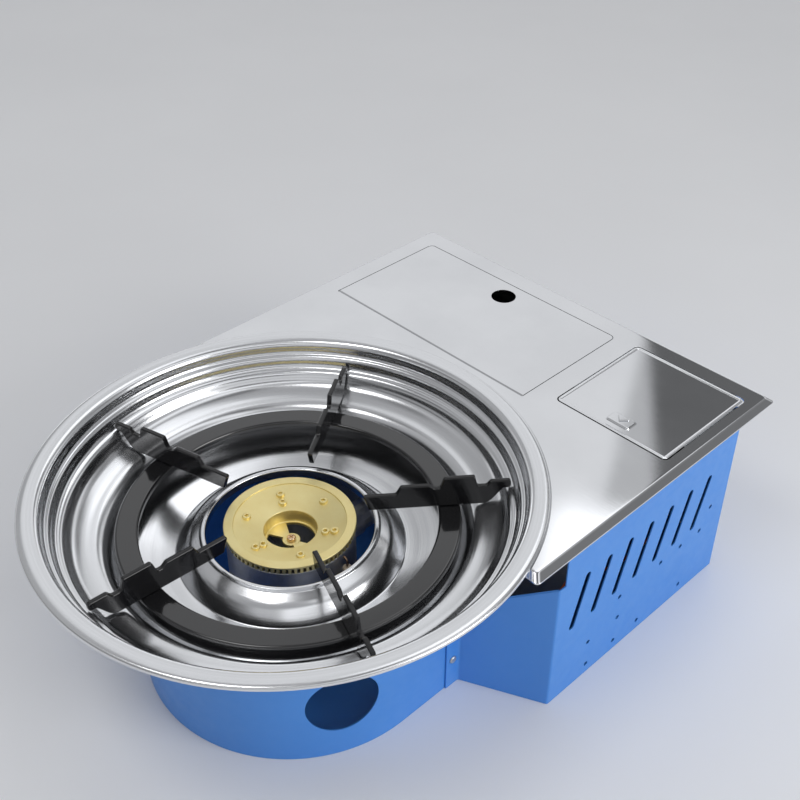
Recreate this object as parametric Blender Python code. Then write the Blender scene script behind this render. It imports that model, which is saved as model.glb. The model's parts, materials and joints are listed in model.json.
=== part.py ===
"""Drop-in table gas stove: a stainless panel and spun drip bowl over a blue sheet housing.

Metres, +Z up. The user stands on the -Y side. The origin is on the base, at the middle of the plan.
"""

from math import atan2, cos, pi, radians, sin, tan

import bmesh
import bpy
from mathutils import Matrix, Vector

# Sheet and clearances
SHEET = 0.001
WALL = 0.001
CLEAR = 0.0003

# Panel
PANEL_WIDTH = 0.340
PANEL_DEPTH = 0.2535
PANEL_HEIGHT = 0.148
PANEL_CORNER = 0.003
LIP_REACH = 0.0046
LIP_DROP = 0.0046

# Cartridge lid, seen from above
LID_DEPTH = 0.1086
LID_RIGHT_MARGIN = 0.0165
LID_TO_COVER = 0.020
LID_FRONT_MARGIN = 0.0174
LID_CORNER = 0.004
LID_GAP = 0.0006
LID_CURL = 0.006
LID_PIN_RADIUS = 0.002
FINGER_HOLE_RADIUS = 0.010
FINGER_HOLE_INSET = 0.0175

# Push cover over the control knob
COVER_WIDTH = 0.095
COVER_DEPTH = 0.096
COVER_LEFT_MARGIN = 0.009
COVER_FRONT_MARGIN = 0.015
COVER_CORNER = 0.0035
COVER_GAP = 0.0010
COVER_BEAD = 0.0008
COVER_BEAD_WIDTH = 0.0022
COVER_OVERHANG = 0.016
COVER_PIN_RADIUS = 0.0015
COVER_PIN_DROP = 0.0055
COVER_EAR_RADIUS = 0.0035

# Trays and frames that hang under the panel
FRAME_MARGIN = 0.003
LEDGE = 0.003
TRAY_SPARE = 0.001
TRAY_CORNER = 0.004
BAY_DEPTH = 0.100
WELL_DEPTH = 0.031

# Drip bowl, from the rim inwards
LID_TO_RIM = 0.0082
BOWL_OVERHANG = 0.0038
RIM_HEIGHT = 0.0036
RIM_LIFT = 0.0006
LIP_WIDTH = 0.0138
TREAD = 0.0035
TREAD_REST = 0.005
RISER_RUN = 0.002
RISER_DROP = 0.008
WALL_RUN = 0.005
WALL_DROP = 0.0095
BOWL_DEPTH = 0.056
TROUGH_INSET = 0.0463
TROUGH_WIDTH = 0.0295
CREASE_RISE = 0.006
COLLAR_RADIUS = 0.0574
COLLAR_RISE = 0.0168
COLLAR_WIDTH = 0.0042
COLLAR_SKIRT = 0.006
COLLAR_ROLL = 0.002
RIM_FILLET = 0.0016
LIP_FILLET = 0.003
STEP_FILLET = 0.0012
REST_FILLET = 0.002
WALL_FILLET = 0.006
TROUGH_FILLET = 0.018
DOME_FILLET = 0.010
SMALL_FILLET = 0.0014
BIG_FILLET = 0.008
BOWL_STEPS = 36

# Housing
FRONT_INSET = 0.006
HOUSING_CORNER = 0.024
FLANGE = 0.012
SIDE_REACH = 0.2264
SLANT_REACH = 0.0287
STRIP_WIDTH = 0.012
SLANT_TOP = 0.112
STRIP_TOP = 0.076
SIDE_NOTCH = 0.006
DRUM_INSET = 0.0175
DRUM_STEPS = 30
AIR_HOLE_RADIUS = 0.025
AIR_HOLE_HEIGHT = 0.048
AIR_HOLE_ANGLES = (66.5, 156.5)
RIVET_HEIGHT = 0.0262
RIVET_RADIUS = 0.0017
RIVET_HEAD_RADIUS = 0.0031
RIVET_HEAD = 0.0013

# Slots and small holes in the side panels
SLOT_COUNT = 7
SLOT_PITCH = 0.0230
SLOT_WIDTH = 0.0054
SLOT_LOW = 0.0628
SLOT_RISE = 0.0455
SLOT_LEAN = 0.0131
SLOT_SETBACK = 0.0170
PINHOLE_RADIUS = 0.0019
PINHOLE_ROWS = (
    (0.009, (0.152, 0.100, 0.072, 0.041)),
    (0.0325, (0.073, 0.040)),
    (0.054, (0.168, 0.144, 0.120, 0.072)),
    (0.072, (0.1775,)),
)

# Burner
CAP_RADIUS = 0.0452
CAP_DEPTH = 0.0357
CAP_RIM = 0.0018
PORT_COUNT = 60
PORT_WIDTH = 0.0022
PORT_HEIGHT = 0.0040
PORT_WALL = 0.006
CAP_GROOVE_INSET = 0.0065
CAP_GROOVE_DEPTH = 0.0006
DISH_DEPTH = 0.0075
DISH_WALL = 0.002
RECESS_RADIUS = 0.0183
RECESS_DEPTH = 0.0175
RECESS_WALL = 0.0015
RECESS_FLOOR = 0.002
BRIDGE_HUB = 0.006
BRIDGE_HALF_ANGLE = 27.0
CAP_STEPS = 30
BODY_HEIGHT = 0.045
BODY_WALL = 0.003
BODY_INSET = 0.0007
AIR_TUBE_WALL = 0.0025
SPIDER_WIDTH = 0.007
SPIDER_HEIGHT = 0.008
SCREW_RADIUS = 0.0015
SCREW_HEAD_RADIUS = 0.0032
SCREW_HEAD = 0.0022
TUBE_RADIUS = 0.011
TUBE_WALL = 0.0015
TUBE_SOCKET = 0.013
TUBE_RISE = 0.016
BELL_RADIUS = 0.016
BELL_LENGTH = 0.014
BELL_SETBACK = 0.016
BRACKET_SHEET = 0.0015
BRACKET_WIDTH = 0.026
BRACKET_TOP = 0.034
BRACKET_FOOT = 0.014
ELECTRODE_ANGLE = 188.0
ELECTRODE_GAP = 0.0052
ELECTRODE_RADIUS = 0.0011
ELECTRODE_LEAN = 0.0028
INSULATOR_RADIUS = 0.0033
INSULATOR_LENGTH = 0.022
INSULATOR_DROP = 0.006
INSULATOR_COLLAR = 0.003
CLIP_LENGTH = 0.013
CLIP_WIDTH = 0.011

# Pot support
SUPPORT_ANGLE = 15.4
ARM_COUNT = 5
ARM_THICKNESS = 0.0035
ARM_INNER = 0.050
RING_TOP_DROP = 0.030
RING_INSET = 0.0107
RING_WIDTH = 0.0159
RING_FLANGE = 0.011
RING_SHEET = 0.0012
BLADE_HEIGHT = 0.012
STEP_HEIGHT = 0.0185
HUMP_HEIGHT = 0.024
NOTCH_HEIGHT = 0.0155
TIP_HEIGHT = 0.0062
ARM_NOTCH = 0.0055
ARM_UNDERCUT = 0.004
ARM_FILLET = 0.0015
NOTCH_FILLET = 0.0018

# Gas train and controls
SHIELD_SETBACK = 0.064
SHIELD_MARGIN = 0.020
SHIELD_CLEAR = 0.0025
CARTRIDGE_RADIUS = 0.034
CARTRIDGE_FLOOR_GAP = 0.002
CONNECTOR_RADIUS = 0.017
CONNECTOR_BORE = 0.0125
CONNECTOR_LENGTH = 0.004
REGULATOR_RADIUS = 0.022
REGULATOR_LENGTH = 0.024
KNOB_RADIUS = 0.019
KNOB_HEIGHT = 0.021
KNOB_FROM_FRONT = 0.036
KNOB_BEVEL = 0.001
KNOB_GRIP = 0.0106
SPINDLE_RADIUS = 0.0035
VALVE_RADIUS = 0.012
VALVE_LENGTH = 0.034
VALVE_ARM = 0.007
PIEZO_SIZE = (0.015, 0.020, 0.027)
PIEZO_CORNER = 0.002
PIPE_RADIUS = 0.003
INJECTOR_RADIUS = 0.005
INJECTOR_LENGTH = 0.016
INJECTOR_GAP = 0.003
HOLDER_SHEET = 0.0015
HOLDER_WIDTH = 0.030
HOLDER_CORNER = 0.003
LEVER_THICKNESS = 0.003
LEVER_WIDTH = 0.010
LEVER_HEAD = 0.016
LEVER_RISE = 0.014
LEVER_TRAVEL = 0.008
LEVER_FOOT = 0.003
LEVER_BEVEL = 0.004
LEAD_RADIUS = 0.0013
LEAD_BEND = 0.006
LEAD_LOW = 0.045

# Places worked out from the driving dimensions
PANEL_X = PANEL_WIDTH / 2
SIDE_X = PANEL_X - 2 * CLEAR
PANEL_UNDER = PANEL_HEIGHT - SHEET
LID_WIDTH = PANEL_WIDTH - COVER_LEFT_MARGIN - COVER_WIDTH - LID_TO_COVER - LID_RIGHT_MARGIN
BOWL_RADIUS = PANEL_X + BOWL_OVERHANG
PLAN_LENGTH = LIP_REACH + LID_FRONT_MARGIN + LID_DEPTH + LID_TO_RIM + 2 * BOWL_RADIUS
FRONT_Y = LIP_REACH - PLAN_LENGTH / 2
BOWL_Y = PLAN_LENGTH / 2 - BOWL_RADIUS
LID_X1 = PANEL_X - LID_RIGHT_MARGIN
LID_X0 = LID_X1 - LID_WIDTH
LID_Y0 = FRONT_Y + LID_FRONT_MARGIN
LID_Y1 = LID_Y0 + LID_DEPTH
LID_AXIS = (LID_Y1 - LID_CURL, PANEL_HEIGHT - LID_CURL)
COVER_X0 = COVER_LEFT_MARGIN - PANEL_X
COVER_X1 = COVER_X0 + COVER_WIDTH
COVER_Y0 = FRONT_Y + COVER_FRONT_MARGIN
COVER_Y1 = COVER_Y0 + COVER_DEPTH
COVER_AXIS = (COVER_Y1 - COVER_OVERHANG, PANEL_HEIGHT - COVER_PIN_DROP)
FRAME_TOP = PANEL_UNDER - CLEAR
TRAY_TOP = FRAME_TOP - WALL - CLEAR
FRONT_WALL_Y = FRONT_Y + FRONT_INSET
SIDE_START_Y = FRONT_WALL_Y + HOUSING_CORNER
SIDE_END_Y = FRONT_Y + SIDE_REACH
SLANT_END_Y = SIDE_END_Y + SLANT_REACH
STRIP_END_Y = SLANT_END_Y + STRIP_WIDTH
COLLAR_OUTER = COLLAR_RADIUS + COLLAR_WIDTH
TROUGH_OUTER = BOWL_RADIUS - TROUGH_INSET
TROUGH_INNER = TROUGH_OUTER - TROUGH_WIDTH
CREASE_RADIUS = (TROUGH_INNER + COLLAR_OUTER) / 2
RING_OUTER = TROUGH_OUTER - RING_INSET
RING_INNER = RING_OUTER - RING_WIDTH
DRUM_RADIUS = TROUGH_OUTER - DRUM_INSET
STRIP_OUT = DRUM_RADIUS + CLEAR + WALL
BOWL_FLOOR = PANEL_HEIGHT - BOWL_DEPTH
COLLAR_TOP = BOWL_FLOOR + COLLAR_RISE
CAP_TOP = PANEL_HEIGHT - CAP_DEPTH
BODY_TOP = CAP_TOP - CAP_RIM - PORT_HEIGHT - CLEAR
BODY_LOW = BODY_TOP - BODY_HEIGHT
TUBE_Z = BODY_LOW + TUBE_RISE
BODY_RADIUS = CAP_RADIUS - BODY_INSET
SOCKET_END = BODY_RADIUS + TUBE_SOCKET
RING_TOP = PANEL_HEIGHT - RING_TOP_DROP
REST_RADIUS = BOWL_RADIUS - LIP_WIDTH - 2 * RISER_RUN - TREAD
REST_TOP = PANEL_HEIGHT - 2 * RISER_DROP - SHEET
SHIELD_Y = BOWL_Y - COLLAR_RADIUS - SHIELD_SETBACK
BELL_Y = SHIELD_Y - BELL_SETBACK
INJECTOR_Y = BELL_Y - INJECTOR_GAP
BAY_FLOOR = TRAY_TOP - BAY_DEPTH
BAY_END_X = LID_X0 - LID_GAP - TRAY_SPARE - WALL
CARTRIDGE_Y = (LID_Y0 + LID_Y1) / 2
CARTRIDGE_Z = BAY_FLOOR + WALL + CARTRIDGE_FLOOR_GAP + CARTRIDGE_RADIUS
WELL_FLOOR = TRAY_TOP - WELL_DEPTH
KNOB_X = (COVER_X0 + COVER_X1) / 2
KNOB_Y = COVER_Y0 + KNOB_FROM_FRONT
VALVE_TOP = WELL_FLOOR - WALL - CLEAR
FLOOR_TOP = WALL
OVERCUT = 0.01


# Shape helpers


def filleted(corners, steps=3, closed=False):
    """Outline through (x, y, radius) corners, with each radius an arc that its sides leave room for."""
    points = []
    count = len(corners)
    for index, (x, y, radius) in enumerate(corners):
        here = Vector((x, y))
        at_end = not closed and index in (0, count - 1)
        if radius == 0 or at_end:
            points.append(here)
            continue
        before = Vector(corners[index - 1][:2]) - here
        after = Vector(corners[(index + 1) % count][:2]) - here
        half = before.angle(after) / 2
        reach = min(radius / tan(half), 0.48 * before.length, 0.48 * after.length)
        radius = reach * tan(half)
        before.normalize()
        after.normalize()
        centre = here + (before + after).normalized() * radius / sin(half)
        start = here + before * reach - centre
        end = here + after * reach - centre
        first = atan2(start.y, start.x)
        sweep = (atan2(end.y, end.x) - first + pi) % (2 * pi) - pi
        for step in range(steps + 1):
            angle = first + sweep * step / steps
            points.append(centre + radius * Vector((cos(angle), sin(angle))))
    return points


def offset_path(points, distance, closed=False):
    """The path moved to its left by a distance, with mitred corners."""
    count = len(points)
    moved = []
    for index, here in enumerate(points):
        sides = []
        if closed or index > 0:
            sides.append((here - points[index - 1]).normalized())
        if closed or index < count - 1:
            sides.append((points[(index + 1) % count] - here).normalized())
        normals = [Vector((-side.y, side.x)) for side in sides]
        mean = sum(normals, Vector((0, 0))).normalized()
        moved.append(here + mean * distance / mean.dot(normals[0]))
    return moved


def sheet_outline(path, thickness):
    """Closed outline of a bent sheet: a path and its copy one thickness to the left."""
    return path + offset_path(path, thickness)[::-1]


def arc(centre, radius, first, last, steps):
    """Points on an arc, in degrees."""
    angles = [radians(first + (last - first) * step / steps) for step in range(steps + 1)]
    return [Vector((centre[0] + radius * cos(angle), centre[1] + radius * sin(angle))) for angle in angles]


def rounded_rectangle(x0, y0, x1, y1, radius, steps=3):
    """Anticlockwise rectangle with round corners."""
    corners = [(x0, y0, radius), (x1, y0, radius), (x1, y1, radius), (x0, y1, radius)]
    return filleted(corners, steps, closed=True)


def prism(outline, low, high, plane="XY"):
    """Closed solid: a flat outline swept between two levels, square to the plane it is drawn in."""
    places = {
        "XY": lambda p, level: (p[0], p[1], level),
        "YZ": lambda p, level: (level, p[0], p[1]),
        "XZ": lambda p, level: (p[0], level, p[1]),
    }
    place = places[plane]
    return stacked([[place(p, level) for p in outline] for level in (low, high)])


def stacked(rings):
    """Closed solid: outlines with as many points each, bridged in turn and capped at both ends."""
    solid = bmesh.new()
    loops = [[solid.verts.new(point) for point in ring] for ring in rings]
    solid.faces.new(loops[0])
    solid.faces.new(loops[-1])
    for lower, upper in zip(loops, loops[1:]):
        for index in range(len(lower)):
            solid.faces.new((lower[index - 1], lower[index], upper[index], upper[index - 1]))
    bmesh.ops.recalc_face_normals(solid, faces=solid.faces[:])
    return solid


def turned(profile, steps, centre=(0, 0, 0), axis="Z"):
    """Closed solid: a closed outline of (radius, height) points turned about an axis through centre."""
    solid = bmesh.new()
    rings = []
    for radius, height in profile:
        around = steps if radius > 0 else 1
        angles = [2 * pi * step / steps for step in range(around)]
        rings.append([solid.verts.new((radius * cos(a), radius * sin(a), height)) for a in angles])
    for ring, other in zip(rings, rings[1:] + rings[:1]):
        for step in range(steps):
            after = (step + 1) % steps
            corners = [ring[step % len(ring)], ring[after % len(ring)]]
            corners += [other[after % len(other)], other[step % len(other)]]
            corners = list(dict.fromkeys(corners))
            if len(corners) > 2:
                solid.faces.new(corners)
    bmesh.ops.recalc_face_normals(solid, faces=solid.faces[:])
    turns = {"Z": Matrix(), "X": Matrix.Rotation(pi / 2, 4, "Y"), "Y": Matrix.Rotation(-pi / 2, 4, "X")}
    solid.transform(Matrix.Translation(centre) @ turns[axis])
    return solid


def cylinder(radius, low, high, steps, centre=(0, 0, 0), axis="Z"):
    """Plain round solid from low to high along its axis."""
    return turned([(0, low), (radius, low), (radius, high), (0, high)], steps, centre, axis)


def box(low, high):
    """Square-edged solid between two corners."""
    outline = [(low[0], low[1]), (high[0], low[1]), (high[0], high[1]), (low[0], high[1])]
    return prism(outline, low[2], high[2])


def combined(solids):
    """Several solids in one mesh, for use as one cutter."""
    whole = bmesh.new()
    for solid in solids:
        mesh = bpy.data.meshes.new("scratch")
        solid.to_mesh(mesh)
        whole.from_mesh(mesh)
        bpy.data.meshes.remove(mesh)
    return whole


def smooth_route(points, per_span):
    """Points on a smooth curve through a cord's or pipe's chosen points."""
    route = [Vector(point) for point in points]
    route = [2 * route[0] - route[1]] + route + [2 * route[-1] - route[-2]]
    found = []
    for index in range(1, len(route) - 2):
        a, b, c, d = route[index - 1 : index + 3]
        for step in range(per_span):
            t = step / per_span
            bend = (2 * a - 5 * b + 4 * c - d) * t**2 + (3 * b - a - 3 * c + d) * t**3
            found.append(b + 0.5 * ((c - a) * t + bend))
    return found + [route[-2]]


# Object helpers


def finish(name, colour, roughness, metallic):
    """Principled material with one colour."""
    material = bpy.data.materials.new(name)
    material.use_nodes = True
    shader = material.node_tree.nodes["Principled BSDF"]
    shader.inputs["Base Color"].default_value = (*colour, 1)
    shader.inputs["Roughness"].default_value = roughness
    shader.inputs["Metallic"].default_value = metallic
    return material


def piece(name, solid, material, parent=None):
    """Named object from a solid, shaded smooth across its shallow edges."""
    mesh = bpy.data.meshes.new(name)
    solid.to_mesh(mesh)
    mesh.materials.append(material)
    mesh.shade_smooth()
    mesh.set_sharp_from_angle(angle=radians(35))
    made = bpy.data.objects.new(name, mesh)
    bpy.context.collection.objects.link(made)
    attach(made, parent)
    return made


def attach(made, parent):
    """Parents an object to an empty on its joint's axis, without moving it."""
    if parent:
        made.parent = parent
        made.matrix_parent_inverse = Matrix.Translation(-parent.location)


def tool(name, solid):
    """Hidden solid that a Boolean uses."""
    mesh = bpy.data.meshes.new(name)
    solid.to_mesh(mesh)
    made = bpy.data.objects.new(name, mesh)
    bpy.context.collection.objects.link(made)
    made.hide_render = True
    made.display_type = "WIRE"
    return made


def boolean(made, operation, name, solid):
    """Adds a Boolean with a hidden solid."""
    modifier = made.modifiers.new(name, "BOOLEAN")
    modifier.operation = operation
    modifier.solver = "EXACT"
    modifier.object = tool(f"{made.name}_{name}", solid)


def cut(made, name, solid):
    boolean(made, "DIFFERENCE", name, solid)


def join(made, name, solid):
    boolean(made, "UNION", name, solid)


def tube(name, points, radius, material):
    """Round wire or pipe along points, as a curve with filled ends."""
    curve = bpy.data.curves.new(name, "CURVE")
    curve.dimensions = "3D"
    curve.bevel_depth = radius
    curve.bevel_resolution = 1
    curve.use_fill_caps = True
    spline = curve.splines.new("POLY")
    spline.points.add(len(points) - 1)
    for place, point in zip(spline.points, points):
        place.co = (*point, 1)
    curve.materials.append(material)
    made = bpy.data.objects.new(name, curve)
    bpy.context.collection.objects.link(made)
    return made


def joint_axis(name, place):
    """Empty on a joint's axis, which its moving pieces hang on."""
    made = bpy.data.objects.new(name, None)
    made.location = place
    made.empty_display_size = 0.02
    bpy.context.collection.objects.link(made)
    return made


# Housing


def half_plan():
    """Outer corners of the right half of the housing, front to back, up to the drum's widest point."""
    return [
        Vector((SIDE_X - HOUSING_CORNER, FRONT_WALL_Y)),
        Vector((SIDE_X, SIDE_START_Y)),
        Vector((SIDE_X, SIDE_END_Y)),
        Vector((STRIP_OUT, SLANT_END_Y)),
    ]


def make_base_plate(material):
    """Floor sheet inside the front, side and drum walls."""
    right = half_plan()
    rear = arc((0, BOWL_Y), STRIP_OUT, 0, 180, DRUM_STEPS)
    left = [Vector((-p.x, p.y)) for p in reversed(right)]
    outline = offset_path(right + rear + left, 2 * (WALL + CLEAR), closed=True)
    piece("base_plate", prism(outline, 0, FLOOR_TOP), material)


def make_front_panel(material):
    """Front wall with slanted corners, and flanges that lie inside the side panels."""
    inside = SIDE_X - WALL - CLEAR
    right = [
        Vector((SIDE_X - HOUSING_CORNER, FRONT_WALL_Y)),
        Vector((inside, SIDE_START_Y)),
        Vector((inside, SIDE_START_Y + FLANGE)),
    ]
    left = [Vector((-p.x, p.y)) for p in reversed(right)]
    outline = sheet_outline(left + right, WALL)
    piece("front_panel", prism(outline, 0, FRAME_TOP), material)


def slot_outline(foot):
    """Leaning slot with round ends, in the side panel's own plane."""
    along = Vector((-SLOT_LEAN, SLOT_RISE))
    length = along.length
    along.normalize()
    across = Vector((along.y, -along.x))
    half = SLOT_WIDTH / 2
    upright = arc((0, length - half), half, 0, 180, 4) + arc((0, half), half, 180, 360, 4)
    return [Vector((foot, SLOT_LOW)) + point.x * across + point.y * along for point in upright]


def make_side_panel(name, side, material):
    """Folded sheet: slotted side, slanted rear wall with a sloping top, and a narrow strip on the drum."""
    path = half_plan()[1:] + [Vector((STRIP_OUT, STRIP_END_Y))]
    outline = [Vector((side * p.x, p.y)) for p in sheet_outline(path, WALL)]
    panel = piece(name, prism(outline, 0, FRAME_TOP), material)
    above = PANEL_HEIGHT + OVERCUT
    notch = [
        (SIDE_END_Y - SIDE_NOTCH, above),
        (SIDE_END_Y - SIDE_NOTCH, SLANT_TOP),
        (SIDE_END_Y, SLANT_TOP),
        (SLANT_END_Y, STRIP_TOP),
        (STRIP_END_Y + OVERCUT, STRIP_TOP),
        (STRIP_END_Y + OVERCUT, above),
    ]
    span = sorted((side * (STRIP_OUT - OVERCUT), side * (SIDE_X + OVERCUT)))
    cut(panel, "top", prism(notch, *span, "YZ"))
    through = sorted((side * (SIDE_X - OVERCUT), side * (SIDE_X + OVERCUT)))
    feet = [SIDE_END_Y - SLOT_SETBACK - SLOT_PITCH * count for count in range(SLOT_COUNT)]
    cut(panel, "slots", combined([prism(slot_outline(foot), *through, "YZ") for foot in feet]))
    holes = [(SIDE_END_Y - back, height) for height, row in PINHOLE_ROWS for back in row]
    discs = [cylinder(PINHOLE_RADIUS, -OVERCUT, OVERCUT, 6, (side * SIDE_X, y, z), "X") for y, z in holes]
    cut(panel, "pinholes", combined(discs))
    cut(panel, "rivet_hole", rivet_bore(side))


def rivet_place(side):
    return (side * STRIP_OUT, SLANT_END_Y + STRIP_WIDTH / 2, RIVET_HEIGHT)


def rivet_bore(side):
    return cylinder(RIVET_RADIUS + CLEAR, -OVERCUT, OVERCUT, 12, rivet_place(side), "X")


def make_rivet(name, side, material):
    """Rivet through the strip and the drum wall behind it."""
    inner = -(2 * WALL + 2 * CLEAR)
    head = RIVET_HEAD_RADIUS
    profile = [
        (0, inner - RIVET_HEAD),
        (head, inner - RIVET_HEAD),
        (head, inner),
        (RIVET_RADIUS, inner),
        (RIVET_RADIUS, CLEAR),
        (head, CLEAR),
        (0.7 * head, 0.85 * RIVET_HEAD),
        (0, RIVET_HEAD),
    ]
    outward = [(radius, side * height) for radius, height in profile]
    piece(name, turned(outward, 10, rivet_place(side), "X"), material)


def make_drum_wall(material):
    """U-shaped sheet under the bowl, with round air holes."""
    start = SLANT_END_Y + WALL
    path = [Vector((DRUM_RADIUS, start))]
    path += arc((0, BOWL_Y), DRUM_RADIUS, 0, 180, DRUM_STEPS)
    path += [Vector((-DRUM_RADIUS, start))]
    wall = piece("drum_wall", prism(sheet_outline(path, WALL), 0, BOWL_FLOOR - SHEET - CLEAR), material)
    for angle in AIR_HOLE_ANGLES:
        hole = cylinder(AIR_HOLE_RADIUS, DRUM_RADIUS - OVERCUT, DRUM_RADIUS + OVERCUT, 20, axis="X")
        turn = Matrix.Rotation(radians(angle), 4, "Z")
        hole.transform(Matrix.Translation((0, BOWL_Y, AIR_HOLE_HEIGHT)) @ turn)
        cut(wall, f"air_hole_{angle:.0f}", hole)
    cut(wall, "rivet_holes", combined([rivet_bore(side) for side in (-1, 1)]))


# Bowl and panel


def bowl_corners():
    """Section of the bowl's upper face from the rim inwards, as (radius, height, fillet) corners."""
    top = PANEL_HEIGHT
    lip = BOWL_RADIUS - LIP_WIDTH
    tread = lip - RISER_RUN
    second = tread - TREAD
    rest = second - RISER_RUN
    wall = rest - TREAD_REST
    first_drop = top - RISER_DROP
    second_drop = first_drop - RISER_DROP
    return [
        (BOWL_RADIUS, top + RIM_LIFT, 0),
        (BOWL_RADIUS, top + RIM_HEIGHT, RIM_FILLET),
        (lip, top + RIM_HEIGHT / 2, LIP_FILLET),
        (tread, first_drop, STEP_FILLET),
        (second, first_drop - SHEET, STEP_FILLET),
        (rest, second_drop - SHEET, STEP_FILLET),
        (wall, second_drop - 2 * SHEET, REST_FILLET),
        (wall - WALL_RUN, second_drop - WALL_DROP, WALL_FILLET),
        (TROUGH_OUTER, BOWL_FLOOR, TROUGH_FILLET),
        (TROUGH_INNER, BOWL_FLOOR, DOME_FILLET),
        (CREASE_RADIUS, BOWL_FLOOR + CREASE_RISE, WALL_FILLET),
        (COLLAR_OUTER, COLLAR_TOP - COLLAR_ROLL, REST_FILLET),
        (COLLAR_OUTER - 0.3 * COLLAR_WIDTH, COLLAR_TOP, STEP_FILLET),
        (COLLAR_RADIUS, COLLAR_TOP, SMALL_FILLET),
        (COLLAR_RADIUS, COLLAR_TOP - COLLAR_SKIRT, 0),
    ]


def bowl_section(least):
    """Upper face of the bowl: arcs for fillets from a least radius up, sharp corners for smaller ones."""
    corners = bowl_corners()
    points = [Vector(corners[0][:2])]
    for before, here, after in zip(corners, corners[1:], corners[2:]):
        radius = here[2]
        steps = 1 + (radius > BIG_FILLET / 2) + (radius > BIG_FILLET)
        if radius < least:
            points.append(Vector(here[:2]))
        else:
            points += filleted([before, here, after], steps)[1:-1]
    return points + [Vector(corners[-1][:2])]


def make_drip_bowl(material):
    """Spun bowl: rolled rim, stepped side, trough, and a dome up to the collar round the burner."""
    under = offset_path(bowl_section(BIG_FILLET), SHEET)
    profile = bowl_section(SMALL_FILLET) + under[::-1]
    piece("drip_bowl", turned(profile, BOWL_STEPS, (0, BOWL_Y, 0)), material)


def panel_outline(reach):
    """Panel's edge seen from above, moved outwards."""
    side = PANEL_X + reach
    front = FRONT_Y - reach
    rear = FRONT_Y + PANEL_DEPTH + reach
    return rounded_rectangle(-side, front, side, rear, PANEL_CORNER + reach, 4)


def make_top_panel(material):
    """Flat panel with a sloping lip all round, and openings for the lid, the cover and the bowl."""
    low = PANEL_HEIGHT - LIP_DROP
    levels = [
        (0, PANEL_HEIGHT),
        (LIP_REACH, low),
        (LIP_REACH - SHEET, low),
        (-SHEET * tan(pi / 8), PANEL_UNDER),
    ]
    rings = [[(p.x, p.y, height) for p in panel_outline(reach)] for reach, height in levels]
    panel = piece("top_panel", stacked(rings), material)
    span = (PANEL_UNDER - OVERCUT, PANEL_HEIGHT + OVERCUT)
    cut(panel, "lid_opening", prism(lid_opening(LID_GAP), *span))
    cut(panel, "cover_opening", prism(cover_opening(COVER_GAP), *span))
    hole = BOWL_RADIUS - LIP_WIDTH + SHEET + 2 * CLEAR
    cut(panel, "bowl_opening", cylinder(hole, *span, 2 * BOWL_STEPS, (0, BOWL_Y, 0)))


def lid_opening(gap):
    """Lid's outline grown by a gap: round corners at the front, square ones at the hinge."""
    corners = [
        (LID_X0 - gap, LID_Y0 - gap, LID_CORNER + gap),
        (LID_X1 + gap, LID_Y0 - gap, LID_CORNER + gap),
        (LID_X1 + gap, LID_Y1 + gap, 0),
        (LID_X0 - gap, LID_Y1 + gap, 0),
    ]
    return filleted(corners, 3, closed=True)


def cover_opening(gap):
    """Cover's outline grown by a gap."""
    grown = (COVER_X0 - gap, COVER_Y0 - gap, COVER_X1 + gap, COVER_Y1 + gap)
    return rounded_rectangle(*grown, COVER_CORNER + gap)


# Trays, frames, lid and cover


def tray_outline(x0, y0, x1, y1):
    """Rectangle whose outer front corner is cut to stay inside the housing's slanted corner."""
    inside = SIDE_X - HOUSING_CORNER - FRONT_WALL_Y - 2 * (WALL + CLEAR) * tan(3 * pi / 8)
    right = max(x1 - y0 - inside, TRAY_CORNER)
    left = max(-x0 - y0 - inside, TRAY_CORNER)
    corners = [(x0, y0 + left), (x0 + left, y0), (x1 - right, y0), (x1, y0 + right), (x1, y1), (x0, y1)]
    return [Vector(corner) for corner in corners]


def make_tray(name, x0, y0, x1, y1, floor, material):
    """Open box that hangs under an opening, given its inner sides."""
    outer = tray_outline(x0 - WALL, y0 - WALL, x1 + WALL, y1 + WALL)
    tray = piece(name, prism(outer, floor, TRAY_TOP), material)
    inner = offset_path(outer, WALL, closed=True)
    cut(tray, "hollow", prism(inner, floor + WALL, TRAY_TOP + OVERCUT))
    return tray


def make_frame(name, x0, y0, x1, y1, axis_y, material):
    """Flat frame under the panel: a ledge in front of a hinge axis, and room to swing behind it."""
    outer = tray_outline(x0 - FRAME_MARGIN, y0 - FRAME_MARGIN, x1 + FRAME_MARGIN, y1 + FRAME_MARGIN)
    frame = piece(name, prism(outer, FRAME_TOP - WALL, FRAME_TOP), material)
    side = LEDGE + TRAY_SPARE
    step = axis_y - LID_CURL - TRAY_SPARE
    front = tray_outline(x0 + side, y0 + side, x1 - side, y1)[:4]
    rear = [(x1 - side, step), (x1, step), (x1, y1), (x0, y1), (x0, step), (x0 + side, step)]
    outline = front + [Vector(corner) for corner in rear]
    cut(frame, "opening", prism(outline, FRAME_TOP - WALL - OVERCUT, FRAME_TOP + OVERCUT))


def pin_holes(x0, x1, axis, radius):
    """Cutter with room for a hinge pin, from end to end of a tray, a lid or a cover."""
    return cylinder(radius + CLEAR, x0 - OVERCUT, x1 + OVERCUT, 12, (0, *axis), "X")


def make_pin(name, x0, x1, axis, radius, material):
    """Hinge pin that ends just outside the tray's side walls."""
    reach = WALL + 2 * CLEAR
    piece(name, cylinder(radius, x0 - reach, x1 + reach, 12, (0, *axis), "X"), material)


def bay_sides():
    grow = LID_GAP + TRAY_SPARE
    return (LID_X0 - grow, LID_Y0 - grow, LID_X1 + grow, LID_Y1 + grow)


def well_sides():
    grow = COVER_GAP + TRAY_SPARE
    return (COVER_X0 - grow, COVER_Y0 - grow, COVER_X1 + grow, COVER_Y1 + grow)


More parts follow.
